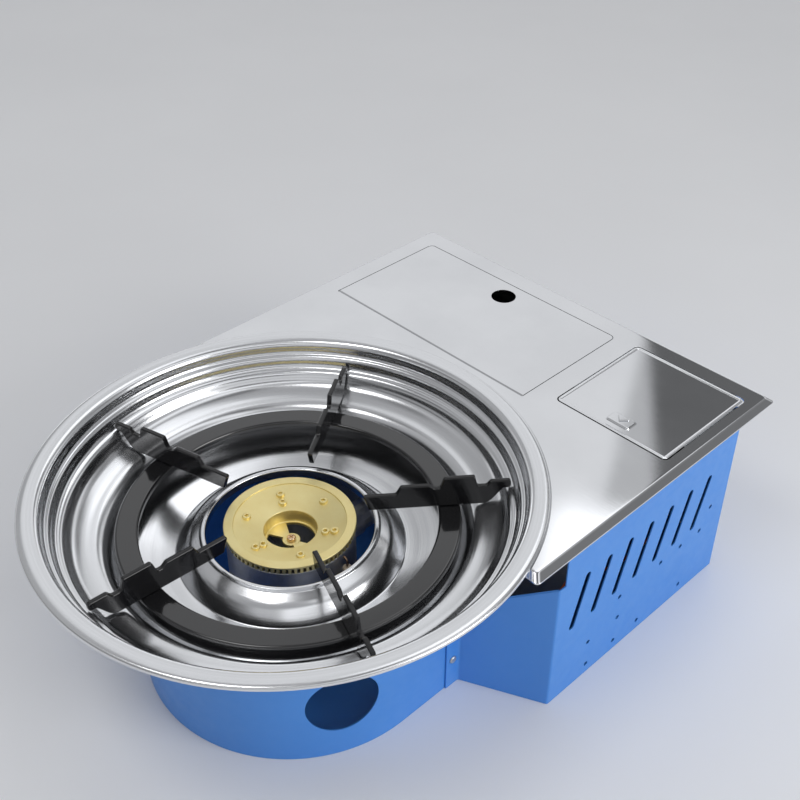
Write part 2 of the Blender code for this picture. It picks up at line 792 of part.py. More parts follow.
def make_cartridge_bay(sheet, steel):
    """Tray for the gas cartridge, the ledge frame over it and the lid's hinge pin."""
    sides = bay_sides()
    bay = make_tray("cartridge_bay", *sides, BAY_FLOOR, sheet)
    cut(bay, "pin_holes", pin_holes(sides[0], sides[2], LID_AXIS, LID_PIN_RADIUS))
    neck = (BAY_END_X, CARTRIDGE_Y, CARTRIDGE_Z)
    cut(bay, "neck_hole", cylinder(CONNECTOR_BORE, -OVERCUT, OVERCUT, 20, neck, "X"))
    make_frame("lid_frame", *sides, LID_AXIS[0], sheet)
    make_pin("lid_pin", sides[0], sides[2], LID_AXIS, LID_PIN_RADIUS, steel)


def make_knob_well(sheet, steel):
    """Tray under the push cover, with a hole for the knob's spindle and a slot for the lock lever."""
    sides = well_sides()
    well = make_tray("knob_well", *sides, WELL_FLOOR - WALL, sheet)
    cut(well, "pin_holes", pin_holes(sides[0], sides[2], COVER_AXIS, COVER_PIN_RADIUS))
    span = (WELL_FLOOR - WALL - OVERCUT, WELL_FLOOR + OVERCUT / 2)
    cut(well, "spindle_hole", cylinder(SPINDLE_RADIUS + CLEAR, *span, 16, (KNOB_X, KNOB_Y, 0)))
    x, y = lever_place()
    half = LEVER_WIDTH / 2 + CLEAR
    low = (x - CLEAR, y - half, span[0])
    high = (x + LEVER_THICKNESS + LEVER_TRAVEL + CLEAR, y + half, span[1])
    cut(well, "lever_slot", box(low, high))
    make_frame("cover_frame", *sides, COVER_AXIS[0], sheet)
    make_pin("cover_pin", sides[0], sides[2], COVER_AXIS, COVER_PIN_RADIUS, steel)


def ear(x, width, axis, radius, top, rear):
    """Upright hinge ear round an axis, reaching up into the plate that carries it, to a rear corner."""
    y, z = axis
    outline = arc((y, z), radius, 180, 360, 8) + [Vector((y + rear, top)), Vector((y - radius, top))]
    return prism(outline, x - width / 2, x + width / 2, "YZ")


def make_canister_lid(material, parent):
    """Lid plate with a finger hole, whose rear edge curls down round the hinge, and two ears on the pin."""
    y, z = LID_AXIS
    path = [Vector((LID_Y0, PANEL_HEIGHT))] + arc((y, z), LID_CURL, 90, -20, 6)
    section = sheet_outline(path, -SHEET)
    lid = piece("canister_lid", prism(section, LID_X0, LID_X1, "YZ"), material, parent)
    span = (PANEL_UNDER - OVERCUT, PANEL_HEIGHT + OVERCUT)
    radius = LID_CORNER
    waste = arc((radius, radius), radius, 180, 270, 3)
    waste += [Vector((radius, -OVERCUT)), Vector((-OVERCUT, -OVERCUT)), Vector((-OVERCUT, radius))]
    for name, x, side in (("left", LID_X0, 1), ("right", LID_X1, -1)):
        outline = [(x + side * p.x, LID_Y0 + p.y) for p in waste]
        cut(lid, f"corner_{name}", prism(outline, *span))
    hole_place = ((LID_X0 + LID_X1) / 2, LID_Y0 + FINGER_HOLE_INSET, 0)
    cut(lid, "finger_hole", cylinder(FINGER_HOLE_RADIUS, *span, 24, hole_place))
    width = 3 * LID_PIN_RADIUS
    inset = 2 * width
    for name, x in (("left", LID_X0 + inset), ("right", LID_X1 - inset)):
        solid = ear(x, width, LID_AXIS, LID_CURL - SHEET / 2, PANEL_HEIGHT - SHEET / 2, 0)
        join(lid, f"ear_{name}", solid)
    cut(lid, "pin_bore", pin_holes(LID_X0, LID_X1, LID_AXIS, LID_PIN_RADIUS))


def make_push_cover(material, parent):
    """Rocking plate level with the panel, with a raised bead along its edge and two ears on its pin."""
    width = COVER_BEAD_WIDTH
    bead = PANEL_HEIGHT + COVER_BEAD
    levels = [
        (0, PANEL_UNDER),
        (0, PANEL_HEIGHT),
        (0.25 * width, bead),
        (0.75 * width, bead),
        (width, PANEL_HEIGHT),
    ]
    rings = [[(p.x, p.y, height) for p in cover_opening(-inset)] for inset, height in levels]
    cover = piece("push_cover", stacked(rings), material, parent)
    ear_width = 4 * COVER_PIN_RADIUS
    inset = 2 * ear_width
    radius = COVER_EAR_RADIUS
    for name, x in (("left", COVER_X0 + inset), ("right", COVER_X1 - inset)):
        solid = ear(x, ear_width, COVER_AXIS, radius, PANEL_HEIGHT - SHEET / 2, radius)
        join(cover, f"ear_{name}", solid)
    cut(cover, "pin_bore", pin_holes(COVER_X0, COVER_X1, COVER_AXIS, COVER_PIN_RADIUS))


# Burner


def make_burner_cap(material):
    """Brass cap: flame ports under its edge, a dished top, and a recess with two air openings."""
    low = BODY_TOP + CLEAR
    ceiling = low + PORT_HEIGHT
    edge = CAP_RADIUS
    skirt = edge - PORT_WALL
    groove = edge - CAP_GROOVE_INSET
    dish = CAP_TOP - DISH_DEPTH
    floor = CAP_TOP - RECESS_DEPTH
    sleeve = RECESS_RADIUS + RECESS_WALL
    profile = [
        (edge - BODY_INSET, low),
        (edge, ceiling),
        (edge, CAP_TOP - CAP_RIM / 4),
        (edge - CAP_RIM / 4, CAP_TOP),
        (groove, CAP_TOP),
        (groove, CAP_TOP - CAP_GROOVE_DEPTH),
        (RECESS_RADIUS, dish),
        (RECESS_RADIUS, floor),
        (0, floor),
        (0, floor - RECESS_FLOOR),
        (sleeve, floor - RECESS_FLOOR),
        (sleeve, dish - DISH_WALL),
        (skirt - RECESS_WALL, ceiling),
        (skirt, ceiling),
        (skirt, low),
    ]
    centre = (0, BOWL_Y, 0)
    cap = piece("burner_cap", turned(profile, CAP_STEPS, centre), material)
    ports = []
    half = PORT_WIDTH / 2
    near = skirt * cos(pi / CAP_STEPS) - CLEAR
    for count in range(PORT_COUNT):
        port = box((near, -half, low - OVERCUT), (edge + OVERCUT, half, ceiling))
        turn = Matrix.Rotation(2 * pi * (count + 0.5) / PORT_COUNT, 4, "Z")
        port.transform(Matrix.Translation(centre) @ turn)
        ports.append(port)
    cut(cap, "flame_ports", combined(ports))
    span = (floor - RECESS_FLOOR - OVERCUT / 2, floor + OVERCUT / 2)
    openings = []
    for middle in (90, 270):
        first = middle - 90 + BRIDGE_HALF_ANGLE
        last = middle + 90 - BRIDGE_HALF_ANGLE
        outer = arc((0, BOWL_Y), RECESS_RADIUS - RECESS_WALL, first, last, 8)
        inner = arc((0, BOWL_Y), BRIDGE_HUB, last, first, 5)
        openings.append(prism(outer + inner, *span))
    cut(cap, "air_openings", combined(openings))
    cut(cap, "screw_hole", cylinder(SCREW_RADIUS + CLEAR, *span, 12, centre))


def make_cap_screw(material):
    """Screw that holds the cap's bridge down on the burner body."""
    seat = CAP_TOP - RECESS_DEPTH + CLEAR
    end = spider_top() - SPIDER_HEIGHT / 2
    head = SCREW_HEAD_RADIUS
    profile = [(0, end), (SCREW_RADIUS, end), (SCREW_RADIUS, seat), (head, seat)]
    profile += [(head, seat + 0.6 * SCREW_HEAD), (0.5 * head, seat + SCREW_HEAD), (0, seat + SCREW_HEAD)]
    piece("cap_screw", turned(profile, 12, (0, BOWL_Y, 0)), material)


def spider_top():
    return CAP_TOP - RECESS_DEPTH - RECESS_FLOOR - CLEAR


def make_burner_body(material):
    """Cast mixing chamber: a ring-shaped cup round an air passage, with a socket for the mixing tube."""
    outer = BODY_RADIUS
    bore = RECESS_RADIUS + RECESS_WALL + CLEAR
    tube_wall = bore + AIR_TUBE_WALL
    tube_top = CAP_TOP - DISH_DEPTH - DISH_WALL - CLEAR
    profile = [
        (outer - 2 * BODY_WALL, BODY_LOW),
        (outer, BODY_LOW + 3 * BODY_WALL),
        (outer, BODY_TOP),
        (outer - BODY_WALL, BODY_TOP),
        (outer - BODY_WALL, BODY_LOW + 3 * BODY_WALL),
        (outer - 2 * BODY_WALL, BODY_LOW + BODY_WALL),
        (tube_wall, BODY_LOW + BODY_WALL),
        (tube_wall, tube_top),
        (bore, tube_top),
        (bore, BODY_LOW),
    ]
    centre = (0, BOWL_Y, 0)
    body = piece("burner_body", turned(profile, CAP_STEPS, centre), material)
    axis = (0, BOWL_Y, TUBE_Z)
    socket = cylinder(TUBE_RADIUS + TUBE_WALL, -SOCKET_END, BODY_WALL / 2 - outer, 18, axis, "Y")
    join(body, "socket", socket)
    passage = cylinder(TUBE_RADIUS - TUBE_WALL, -SOCKET_END - OVERCUT, 4 * BODY_WALL - outer, 18, axis, "Y")
    cut(body, "tube_bore", passage)
    top = spider_top()
    half = SPIDER_WIDTH / 2
    reach = bore + AIR_TUBE_WALL / 2
    spider = box((-reach, BOWL_Y - half, top - SPIDER_HEIGHT), (reach, BOWL_Y + half, top))
    join(body, "spider", spider)
    span = (top - SPIDER_HEIGHT - OVERCUT, top + OVERCUT / 5)
    cut(body, "screw_hole", cylinder(SCREW_RADIUS + CLEAR, *span, 12, centre))


def make_mixing_tube(material):
    """Tube with a bell mouth that draws air in with the gas and leads the mixture to the burner."""
    start = BELL_Y - BOWL_Y
    end = -SOCKET_END - CLEAR
    profile = [
        (BELL_RADIUS, start),
        (TUBE_RADIUS, start + BELL_LENGTH),
        (TUBE_RADIUS, end),
        (TUBE_RADIUS - TUBE_WALL, end),
        (TUBE_RADIUS - TUBE_WALL, start + BELL_LENGTH),
        (BELL_RADIUS - TUBE_WALL, start),
    ]
    piece("mixing_tube", turned(profile, 16, (0, BOWL_Y, TUBE_Z), "Y"), material)


def make_burner_bracket(material):
    """Bent strip that stands on the floor and carries the burner."""
    low = FLOOR_TOP + CLEAR
    high = BODY_LOW - CLEAR
    right = [
        Vector((BRACKET_TOP, high)),
        Vector((BRACKET_TOP + 2 * BRACKET_SHEET, low + BRACKET_SHEET)),
        Vector((BRACKET_TOP + 2 * BRACKET_SHEET + BRACKET_FOOT, low + BRACKET_SHEET)),
    ]
    left = [Vector((-p.x, p.y)) for p in reversed(right)]
    outline = sheet_outline(left + right, -BRACKET_SHEET)
    half = BRACKET_WIDTH / 2
    piece("burner_bracket", prism(outline, BOWL_Y - half, BOWL_Y + half, "XZ"), material)


def electrode_place():
    """Axis of the spark electrode beside the burner, as (x, y)."""
    angle = radians(ELECTRODE_ANGLE)
    radius = CAP_RADIUS + ELECTRODE_GAP
    return (radius * cos(angle), BOWL_Y + radius * sin(angle))


def make_electrode(ceramic, wire, steel):
    """Spark electrode: wire in a ceramic sleeve, held to the burner by a small plate."""
    x, y = electrode_place()
    top = BODY_TOP - INSULATOR_DROP
    low = top - INSULATOR_LENGTH
    half = INSULATOR_RADIUS / 2
    collar = 1.35 * INSULATOR_RADIUS
    clip_top = low + INSULATOR_LENGTH / 2
    profile = [
        (0, low),
        (INSULATOR_RADIUS, low),
        (INSULATOR_RADIUS, clip_top + CLEAR),
        (collar, clip_top + CLEAR),
        (collar, clip_top + INSULATOR_COLLAR),
        (INSULATOR_RADIUS, clip_top + INSULATOR_COLLAR + SHEET),
        (INSULATOR_RADIUS, top - half),
        (half, top),
        (0, top),
    ]
    piece("electrode_insulator", turned(profile, 10, (x, y, 0)), ceramic)
    inward = Vector((-x, BOWL_Y - y, 0)).normalized()
    start = Vector((x, y, top + CLEAR))
    rise = Vector((0, 0, BODY_TOP - top))
    lean = ELECTRODE_LEAN * inward
    route = [start, start + 0.7 * rise, start + rise + 0.5 * lean, start + 1.2 * rise + lean]
    tube("electrode_rod", smooth_route(route, 3), ELECTRODE_RADIUS, wire)
    near = (BODY_RADIUS + CLEAR, -CLIP_WIDTH / 2, clip_top - BRACKET_SHEET)
    far = (BODY_RADIUS + CLIP_LENGTH, CLIP_WIDTH / 2, clip_top)
    plate = box(near, far)
    turn = Matrix.Rotation(radians(ELECTRODE_ANGLE), 4, "Z")
    plate.transform(Matrix.Translation((0, BOWL_Y, 0)) @ turn)
    clip = piece("electrode_clip", plate, steel)
    sleeve = cylinder(INSULATOR_RADIUS + CLEAR, clip_top - OVERCUT, clip_top + OVERCUT, 14, (x, y, 0))
    cut(clip, "sleeve_hole", sleeve)
    return low


# Pot support


def arm_outline():
    """Side view of a support arm, as (radius, height): blade, step, notch, hump, notch, tip on the bowl."""
    base = RING_TOP + CLEAR
    step_start = ARM_INNER + 0.5 * (RING_INNER - ARM_INNER)
    hump_start = RING_INNER + 0.25 * (RING_OUTER - RING_INNER)
    hump_end = RING_OUTER + 0.55 * (RING_OUTER - RING_INNER)
    notch = ARM_NOTCH
    tip_low = REST_TOP + CLEAR
    across_flats = cos(pi / BOWL_STEPS)
    tip_end = REST_RADIUS * across_flats - 0.3 * TREAD_REST
    tip_start = tip_end - TREAD_REST
    heel = (REST_RADIUS - TREAD_REST - WALL_RUN) * across_flats - 2 * SHEET
    corners = [
        (ARM_INNER + ARM_UNDERCUT, base, 0),
        (heel - ARM_UNDERCUT, base, 4 * ARM_FILLET),
        (heel, base + 0.25 * (tip_low - base), 3 * ARM_FILLET),
        (tip_start, tip_low, ARM_FILLET),
        (tip_end, tip_low, ARM_FILLET),
        (tip_end, tip_low + TIP_HEIGHT, ARM_FILLET),
        (hump_end + 2 * notch, tip_low + TIP_HEIGHT, ARM_FILLET),
        (hump_end + 1.5 * notch, base + NOTCH_HEIGHT, NOTCH_FILLET),
        (hump_end + 0.4 * notch, base + NOTCH_HEIGHT, NOTCH_FILLET),
        (hump_end, base + HUMP_HEIGHT, ARM_FILLET),
        (hump_start, base + HUMP_HEIGHT, ARM_FILLET),
        (hump_start - 0.5 * notch, base + NOTCH_HEIGHT, NOTCH_FILLET),
        (hump_start - 1.2 * notch, base + NOTCH_HEIGHT, NOTCH_FILLET),
        (hump_start - 1.8 * notch, base + STEP_HEIGHT, ARM_FILLET),
        (step_start, base + STEP_HEIGHT, ARM_FILLET),
        (step_start - 0.6 * notch, base + BLADE_HEIGHT, ARM_FILLET),
        (ARM_INNER, base + BLADE_HEIGHT, ARM_FILLET),
    ]
    return filleted(corners, 1, closed=True)


def make_pot_support(material, parent):
    """Black ring of channel section with five stepped arms standing on it."""
    sheet = RING_SHEET
    low = RING_TOP - RING_FLANGE
    corners = [
        (RING_INNER, low, 0),
        (RING_INNER, RING_TOP, 1.5 * sheet),
        (RING_OUTER, RING_TOP, 1.5 * sheet),
        (RING_OUTER, low, 0),
    ]
    section = filleted(corners, 1)
    profile = section + offset_path(section, -sheet)[::-1]
    piece("support_ring", turned(profile, BOWL_STEPS, (0, BOWL_Y, 0)), material, parent)
    for count in range(ARM_COUNT):
        arm = prism(arm_outline(), -ARM_THICKNESS / 2, ARM_THICKNESS / 2, "XZ")
        turn = Matrix.Rotation(radians(SUPPORT_ANGLE + 360 * count / ARM_COUNT), 4, "Z")
        arm.transform(Matrix.Translation((0, BOWL_Y, 0)) @ turn)
        piece(f"support_arm_{count + 1}", arm, material, parent)


# Gas train and controls


def make_heat_shield(material):
    """Dark partition between the cartridge and the burner, cut to the shape of the bowl over it."""
    half = SIDE_X - SHIELD_MARGIN
    low = FLOOR_TOP + CLEAR
    plate = box((-half, SHIELD_Y, low), (half, SHIELD_Y + WALL, FRAME_TOP - CLEAR))
    shield = piece("heat_shield", plate, material)
    room = SHEET + SHIELD_CLEAR
    outer = [corner for corner in bowl_corners() if corner[0] >= TROUGH_OUTER]
    under = [(radius + room, height - room) for radius, height, _ in outer]
    above = PANEL_HEIGHT + OVERCUT
    profile = [(0, above), (BOWL_RADIUS + OVERCUT, above), (BOWL_RADIUS + OVERCUT, under[0][1])]
    profile += under[2:] + [(0, BOWL_FLOOR - room)]
    cut(shield, "bowl_room", turned(profile, BOWL_STEPS, (0, BOWL_Y, 0)))
    place = (0, SHIELD_Y, TUBE_Z)
    cut(shield, "tube_hole", cylinder(TUBE_RADIUS + CLEAR, -OVERCUT, OVERCUT, 20, place, "Y"))


def make_cartridge_connector(material):
    """Guide ring inside the bay that the cartridge's collar pushes against."""
    near = BAY_END_X + WALL + CLEAR
    profile = [
        (CONNECTOR_BORE, 0),
        (CONNECTOR_RADIUS, 0),
        (CONNECTOR_RADIUS, 0.6 * CONNECTOR_LENGTH),
        (CONNECTOR_RADIUS - 0.4 * CONNECTOR_LENGTH, CONNECTOR_LENGTH),
        (CONNECTOR_BORE, CONNECTOR_LENGTH),
    ]
    piece("cartridge_connector", turned(profile, 16, (near, CARTRIDGE_Y, CARTRIDGE_Z), "X"), material)


def make_regulator(material):
    """Round pressure regulator on the outside of the bay's end wall, with its inlet through the wall."""
    far = -REGULATOR_LENGTH
    inlet = 0.5 * CONNECTOR_BORE
    profile = [
        (0, far),
        (0.6 * REGULATOR_RADIUS, far),
        (0.6 * REGULATOR_RADIUS, 0.8 * far),
        (REGULATOR_RADIUS, 0.72 * far),
        (REGULATOR_RADIUS, 0.3 * far),
        (0.75 * REGULATOR_RADIUS, 0.2 * far),
        (0.75 * REGULATOR_RADIUS, -CLEAR),
        (inlet, -CLEAR),
        (inlet, WALL + CONNECTOR_LENGTH),
        (0, WALL + CONNECTOR_LENGTH),
    ]
    piece("regulator_body", turned(profile, 16, (BAY_END_X, CARTRIDGE_Y, CARTRIDGE_Z), "X"), material)


def make_valve(material):
    """Gas valve under the knob, with an arm to the regulator."""
    low = VALVE_TOP - VALVE_LENGTH
    valve = piece("valve_body", cylinder(VALVE_RADIUS, low, VALVE_TOP, 24, (KNOB_X, KNOB_Y, 0)), material)
    end = BAY_END_X - REGULATOR_LENGTH - CLEAR
    start = Vector((KNOB_X, KNOB_Y))
    ahead = Vector((end, CARTRIDGE_Y))
    half = VALVE_ARM / 2
    arm_low = CARTRIDGE_Z - half
    across = [
        (start.x, start.y - half),
        (end - 2 * half, ahead.y - half),
        (end, ahead.y - half),
        (end, ahead.y + half),
        (end - 2 * half, ahead.y + half),
        (start.x, start.y + half),
    ]
    join(valve, "arm", prism(across, arm_low, arm_low + VALVE_ARM))
    span = (spindle_end() - CLEAR, VALVE_TOP + OVERCUT)
    cut(valve, "spindle_bore", cylinder(SPINDLE_RADIUS + CLEAR, *span, 16, (KNOB_X, KNOB_Y, 0)))


def spindle_end():
    return VALVE_TOP - 3 * SPINDLE_RADIUS + CLEAR


def make_knob(plastic, steel, parent):
    """Control knob with a grip bar, on a spindle that goes down into the valve."""
    low = WELL_FLOOR + CLEAR
    high = low + KNOB_HEIGHT
    waist = low + KNOB_HEIGHT / 3
    grip = KNOB_GRIP / 2
    profile = [
        (0, low),
        (KNOB_RADIUS, low),
        (KNOB_RADIUS, waist - KNOB_BEVEL),
        (KNOB_RADIUS - KNOB_BEVEL, waist),
        (0, waist),
    ]
    centre = (KNOB_X, KNOB_Y, 0)
    knob = piece("control_knob", turned(profile, 20, centre), plastic, parent)
    reach = 0.94 * KNOB_RADIUS
    bar = rounded_rectangle(KNOB_X - reach, KNOB_Y - grip, KNOB_X + reach, KNOB_Y + grip, 0.7 * grip)
    join(knob, "grip", prism(bar, waist - 2 * KNOB_BEVEL, high))
    socket = low + KNOB_HEIGHT / 2
    cut(knob, "socket", cylinder(SPINDLE_RADIUS + CLEAR, low - OVERCUT, socket, 16, centre))
    spindle = cylinder(SPINDLE_RADIUS, spindle_end(), socket - CLEAR, 16, centre)
    piece("knob_spindle", spindle, steel, parent)


def lever_place():
    """Front corner of the lock lever at rest, as (x, y of its middle)."""
    x = COVER_X1 - LEDGE - LEVER_THICKNESS - LEVER_TRAVEL - 2 * TRAY_SPARE
    return (x, KNOB_Y)


def make_lock_lever(material, parent):
    """Sliding lock lever: a foot under the well, a stem through its slot and a thumb tab."""
    x, y = lever_place()
    foot = VALVE_TOP
    stem = LEVER_WIDTH / 2
    head = LEVER_HEAD / 2
    right = [
        (head, foot - LEVER_FOOT),
        (head, foot),
        (stem, foot),
        (stem, WELL_FLOOR + CLEAR),
        (head, WELL_FLOOR + CLEAR),
        (head, WELL_FLOOR + LEVER_RISE - LEVER_BEVEL),
        (stem, WELL_FLOOR + LEVER_RISE),
    ]
    outline = [(y + across, z) for across, z in right] + [(y - across, z) for across, z in reversed(right)]
    piece("lock_lever", prism(outline, x, x + LEVER_THICKNESS, "YZ"), material, parent)


def piezo_corner():
    """Low corner of the piezo igniter, which hangs under the well beside the valve."""
    width, depth, height = PIEZO_SIZE
    return (KNOB_X - VALVE_RADIUS - CLEAR - width, KNOB_Y - depth / 2, VALVE_TOP - height)


def make_piezo(material):
    """Plastic block that makes the spark."""
    x, y, low = piezo_corner()
    outline = rounded_rectangle(x, y, x + PIEZO_SIZE[0], y + PIEZO_SIZE[1], PIEZO_CORNER)
    piece("piezo_igniter", prism(outline, low, VALVE_TOP), material)


def make_gas_pipe(material):
    """Pipe from the valve to the injector."""
    start = Vector((KNOB_X, KNOB_Y + VALVE_RADIUS + CLEAR, VALVE_TOP - 0.8 * VALVE_LENGTH))
    end = Vector((0, INJECTOR_Y - INJECTOR_LENGTH - CLEAR, TUBE_Z))
    straight = 4 * PIPE_RADIUS
    turn = Vector((start.x + 6 * PIPE_RADIUS, end.y - straight, TUBE_Z))
    route = [
        start + Vector((0, straight, 0)),
        Vector((start.x + PIPE_RADIUS, turn.y - 2 * straight, TUBE_Z + PIPE_RADIUS)),
        turn,
        Vector((end.x - 3 * straight, turn.y, TUBE_Z)),
        end - Vector((straight, 0.8 * straight, 0)),
        end - Vector((0, PIPE_RADIUS, 0)),
    ]
    points = [start] + smooth_route(route, 4) + [end]
    tube("gas_pipe", points, PIPE_RADIUS, material)


def make_injector(brass, steel):
    """Gas injector in front of the mixing tube's mouth, on an upright plate."""
    head = INJECTOR_RADIUS
    shank = 0.8 * head
    far = -INJECTOR_LENGTH
    seat = 0.5 * far
    profile = [
        (0, far),
        (shank, far),
        (shank, seat),
        (head, seat),
        (head, 0.2 * far),
        (0.4 * head, 0),
        (0, 0),
    ]
    piece("injector_nozzle", turned(profile, 12, (0, INJECTOR_Y, TUBE_Z), "Y"), brass)
    y = INJECTOR_Y + seat - CLEAR
    half = HOLDER_WIDTH / 2
    low = FLOOR_TOP + CLEAR
    outline = rounded_rectangle(-half, low, half, TUBE_Z + half / 2, HOLDER_CORNER)
    holder = piece("injector_bracket", prism(outline, y - HOLDER_SHEET, y, "XZ"), steel)
    cut(holder, "nozzle_hole", cylinder(shank + CLEAR, -OVERCUT, OVERCUT, 16, (0, y, TUBE_Z), "Y"))


def make_ignition_lead(material, electrode_low):
    """Orange lead from the igniter along the side wall and round the shield to the electrode."""
    corner_x, corner_y, low = piezo_corner()
    width, depth, height = PIEZO_SIZE
    bend = LEAD_BEND
    start = Vector((corner_x + width / 2, corner_y + depth + CLEAR, low + height / 2))
    x, y = electrode_place()
    end = Vector((x, y, electrode_low - CLEAR))
    wall = -(SIDE_X - WALL - 3 * LEAD_RADIUS)
    slots = SLOT_LOW + SLOT_RISE / 2
    route = [
        start,
        start + Vector((0, 2 * bend, 0)),
        Vector((wall + bend, start.y + 6 * bend, slots - bend)),
        Vector((wall, SIDE_END_Y - SLOT_SETBACK - 2 * SLOT_PITCH, slots)),
        Vector((wall, SIDE_END_Y - SLOT_SETBACK - bend, SLANT_TOP)),
        Vector((wall + 2 * bend, SIDE_END_Y - bend, SLANT_TOP - 6 * bend)),
        Vector((-DRUM_RADIUS, SIDE_END_Y + bend, LEAD_LOW)),
        Vector((-0.78 * DRUM_RADIUS, SLANT_END_Y, LEAD_LOW)),
        end + Vector((-bend, -3 * bend, -5 * bend)),
        end + Vector((0, 0, -bend)),
    ]
    tube("ignition_lead", smooth_route(route, 3) + [end], LEAD_RADIUS, material)


def clear_scene():
    for made in list(bpy.data.objects):
        bpy.data.objects.remove(made)


def main():
    clear_scene()
    blue = finish("blue_paint", (0.05, 0.17, 0.50), 0.45, 0.0)
    stainless = finish("polished_stainless", (0.80, 0.81, 0.83), 0.12, 1.0)
    spun = finish("spun_stainless", (0.78, 0.79, 0.81), 0.22, 1.0)
    zinc = finish("zinc_plate", (0.62, 0.64, 0.66), 0.35, 1.0)
    grey = finish("dark_plate", (0.045, 0.047, 0.055), 0.55, 0.2)
    brass = finish("brass", (0.74, 0.55, 0.18), 0.30, 1.0)
    casting = finish("cast_aluminium", (0.50, 0.51, 0.53), 0.50, 1.0)
    enamel = finish("black_enamel", (0.012, 0.012, 0.013), 0.15, 0.0)
    copper = finish("copper_wire", (0.60, 0.30, 0.16), 0.35, 1.0)
    ceramic = finish("ceramic", (0.85, 0.83, 0.78), 0.30, 0.0)
    plastic = finish("black_plastic", (0.02, 0.02, 0.022), 0.40, 0.0)
    orange = finish("orange_lead", (0.55, 0.10, 0.02), 0.45, 0.0)

    make_base_plate(blue)
    make_front_panel(blue)
    make_side_panel("side_panel_left", -1, blue)
    make_side_panel("side_panel_right", 1, blue)
    make_drum_wall(blue)
    make_rivet("strip_rivet_left", -1, zinc)
    make_rivet("strip_rivet_right", 1, zinc)
    make_top_panel(stainless)
    make_drip_bowl(spun)
    make_cartridge_bay(zinc, zinc)
    make_knob_well(zinc, zinc)
    make_canister_lid(stainless, joint_axis("lid_axis", (0, *LID_AXIS)))
    make_push_cover(stainless, joint_axis("cover_axis", (0, *COVER_AXIS)))

    make_burner_cap(brass)
    make_cap_screw(zinc)
    make_burner_body(casting)
    make_mixing_tube(casting)
    make_burner_bracket(zinc)
    electrode_low = make_electrode(ceramic, copper, zinc)
    make_pot_support(enamel, joint_axis("support_axis", (0, BOWL_Y, RING_TOP)))

    make_heat_shield(grey)
    make_cartridge_connector(plastic)
    make_regulator(casting)
    make_valve(casting)
    make_knob(plastic, zinc, joint_axis("knob_axis", (KNOB_X, KNOB_Y, WELL_FLOOR)))
    make_lock_lever(plastic, joint_axis("lever_axis", (*lever_place(), WELL_FLOOR)))
    make_piezo(plastic)
    make_gas_pipe(zinc)
    make_injector(brass, zinc)
    make_ignition_lead(orange, electrode_low)


main()
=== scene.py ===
"""Looks for the drop-in table gas stove: finer pieces, materials, studio and camera.

Metres, +Z up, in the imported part's own frame.
"""

import json
from math import atan2, cos, pi, radians, sin, tan

import bmesh
import bpy
from mathutils import Matrix, Vector


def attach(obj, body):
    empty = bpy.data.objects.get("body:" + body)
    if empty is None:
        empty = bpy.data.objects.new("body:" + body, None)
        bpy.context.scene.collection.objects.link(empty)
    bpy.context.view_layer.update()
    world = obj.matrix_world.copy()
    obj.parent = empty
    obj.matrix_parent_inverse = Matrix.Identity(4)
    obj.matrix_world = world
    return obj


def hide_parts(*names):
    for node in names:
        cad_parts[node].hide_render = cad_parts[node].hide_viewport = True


# Sizes shared with the part
SHEET = 0.001
CLEAR = 0.0003
PANEL_X = 0.170
FRONT_Y = -0.2386
PANEL_REAR = 0.0149
PANEL_TOP = 0.148
PANEL_CORNER = 0.003
LIP_REACH = 0.0046
LIP_DROP = 0.0046
LID_X = (-0.0460, 0.1535)
LID_Y = (-0.2212, -0.1126)
LID_CORNER = 0.004
LID_CURL = 0.006
LID_PIN = 0.002
LID_GAP = 0.0006
FINGER_HOLE_RADIUS = 0.010
FINGER_HOLE_INSET = 0.0175
COVER_X = (-0.1610, -0.0660)
COVER_Y = (-0.2236, -0.1276)
COVER_CORNER = 0.0035
COVER_GAP = 0.0010
COVER_AXIS = (-0.1436, 0.1425)
COVER_PIN = 0.0015
COVER_EAR = 0.0035
BOWL_Y = 0.0694
BOWL_RADIUS = 0.1738
BOWL_FLOOR = 0.092
BOWL_HOLE = 0.1617
COLLAR_RADIUS = 0.0574
COLLAR_TOP = 0.1088
SIDE_X = 0.1694
FRAME_TOP = 0.1467
FRONT_WALL_Y = -0.2326
SIDE_START_Y = -0.2086
SIDE_END_Y = -0.0122
SLANT_END_Y = 0.0165
STRIP_END_Y = 0.0285
STRIP_OUT = 0.1113
HOUSING_CORNER = 0.024
FLANGE = 0.012
SLANT_TOP = 0.112
STRIP_TOP = 0.076
SIDE_NOTCH = 0.006
SLOT_COUNT = 7
SLOT_PITCH = 0.0230
SLOT_WIDTH = 0.0054
SLOT_LOW = 0.0628
SLOT_RISE = 0.0455
SLOT_LEAN = 0.0131
SLOT_SETBACK = 0.0170
PINHOLE_RADIUS = 0.0019
PINHOLE_ROWS = (
    (0.009, (0.152, 0.100, 0.072, 0.041)),
    (0.0325, (0.073, 0.040)),
    (0.054, (0.168, 0.144, 0.120, 0.072)),
    (0.072, (0.1775,)),
)
RIVET_Y = 0.0225
RIVET_Z = 0.0262
RIVET_RADIUS = 0.0017
RIVET_HEAD_RADIUS = 0.0031
RIVET_HEAD = 0.0013
DRUM_RADIUS = 0.110
DRUM_START = 0.0175
DRUM_TOP = 0.0907
AIR_HOLE_RADIUS = 0.025
AIR_HOLE_HEIGHT = 0.048
AIR_HOLE_ANGLES = (66.5, 156.5)
RING_OUTER = 0.1168
RING_INNER = 0.1009
RING_TOP = 0.118
RING_FLANGE = 0.011
RING_SHEET = 0.0012
ARM_COUNT = 5
ARM_ANGLE = 15.4
ARM_THICKNESS = 0.0035
ARM_INNER = 0.050
CAP_RADIUS = 0.0452
CAP_TOP = 0.1123
CAP_LOW = 0.1065
PORT_HEIGHT = 0.0040
PORT_WALL = 0.006
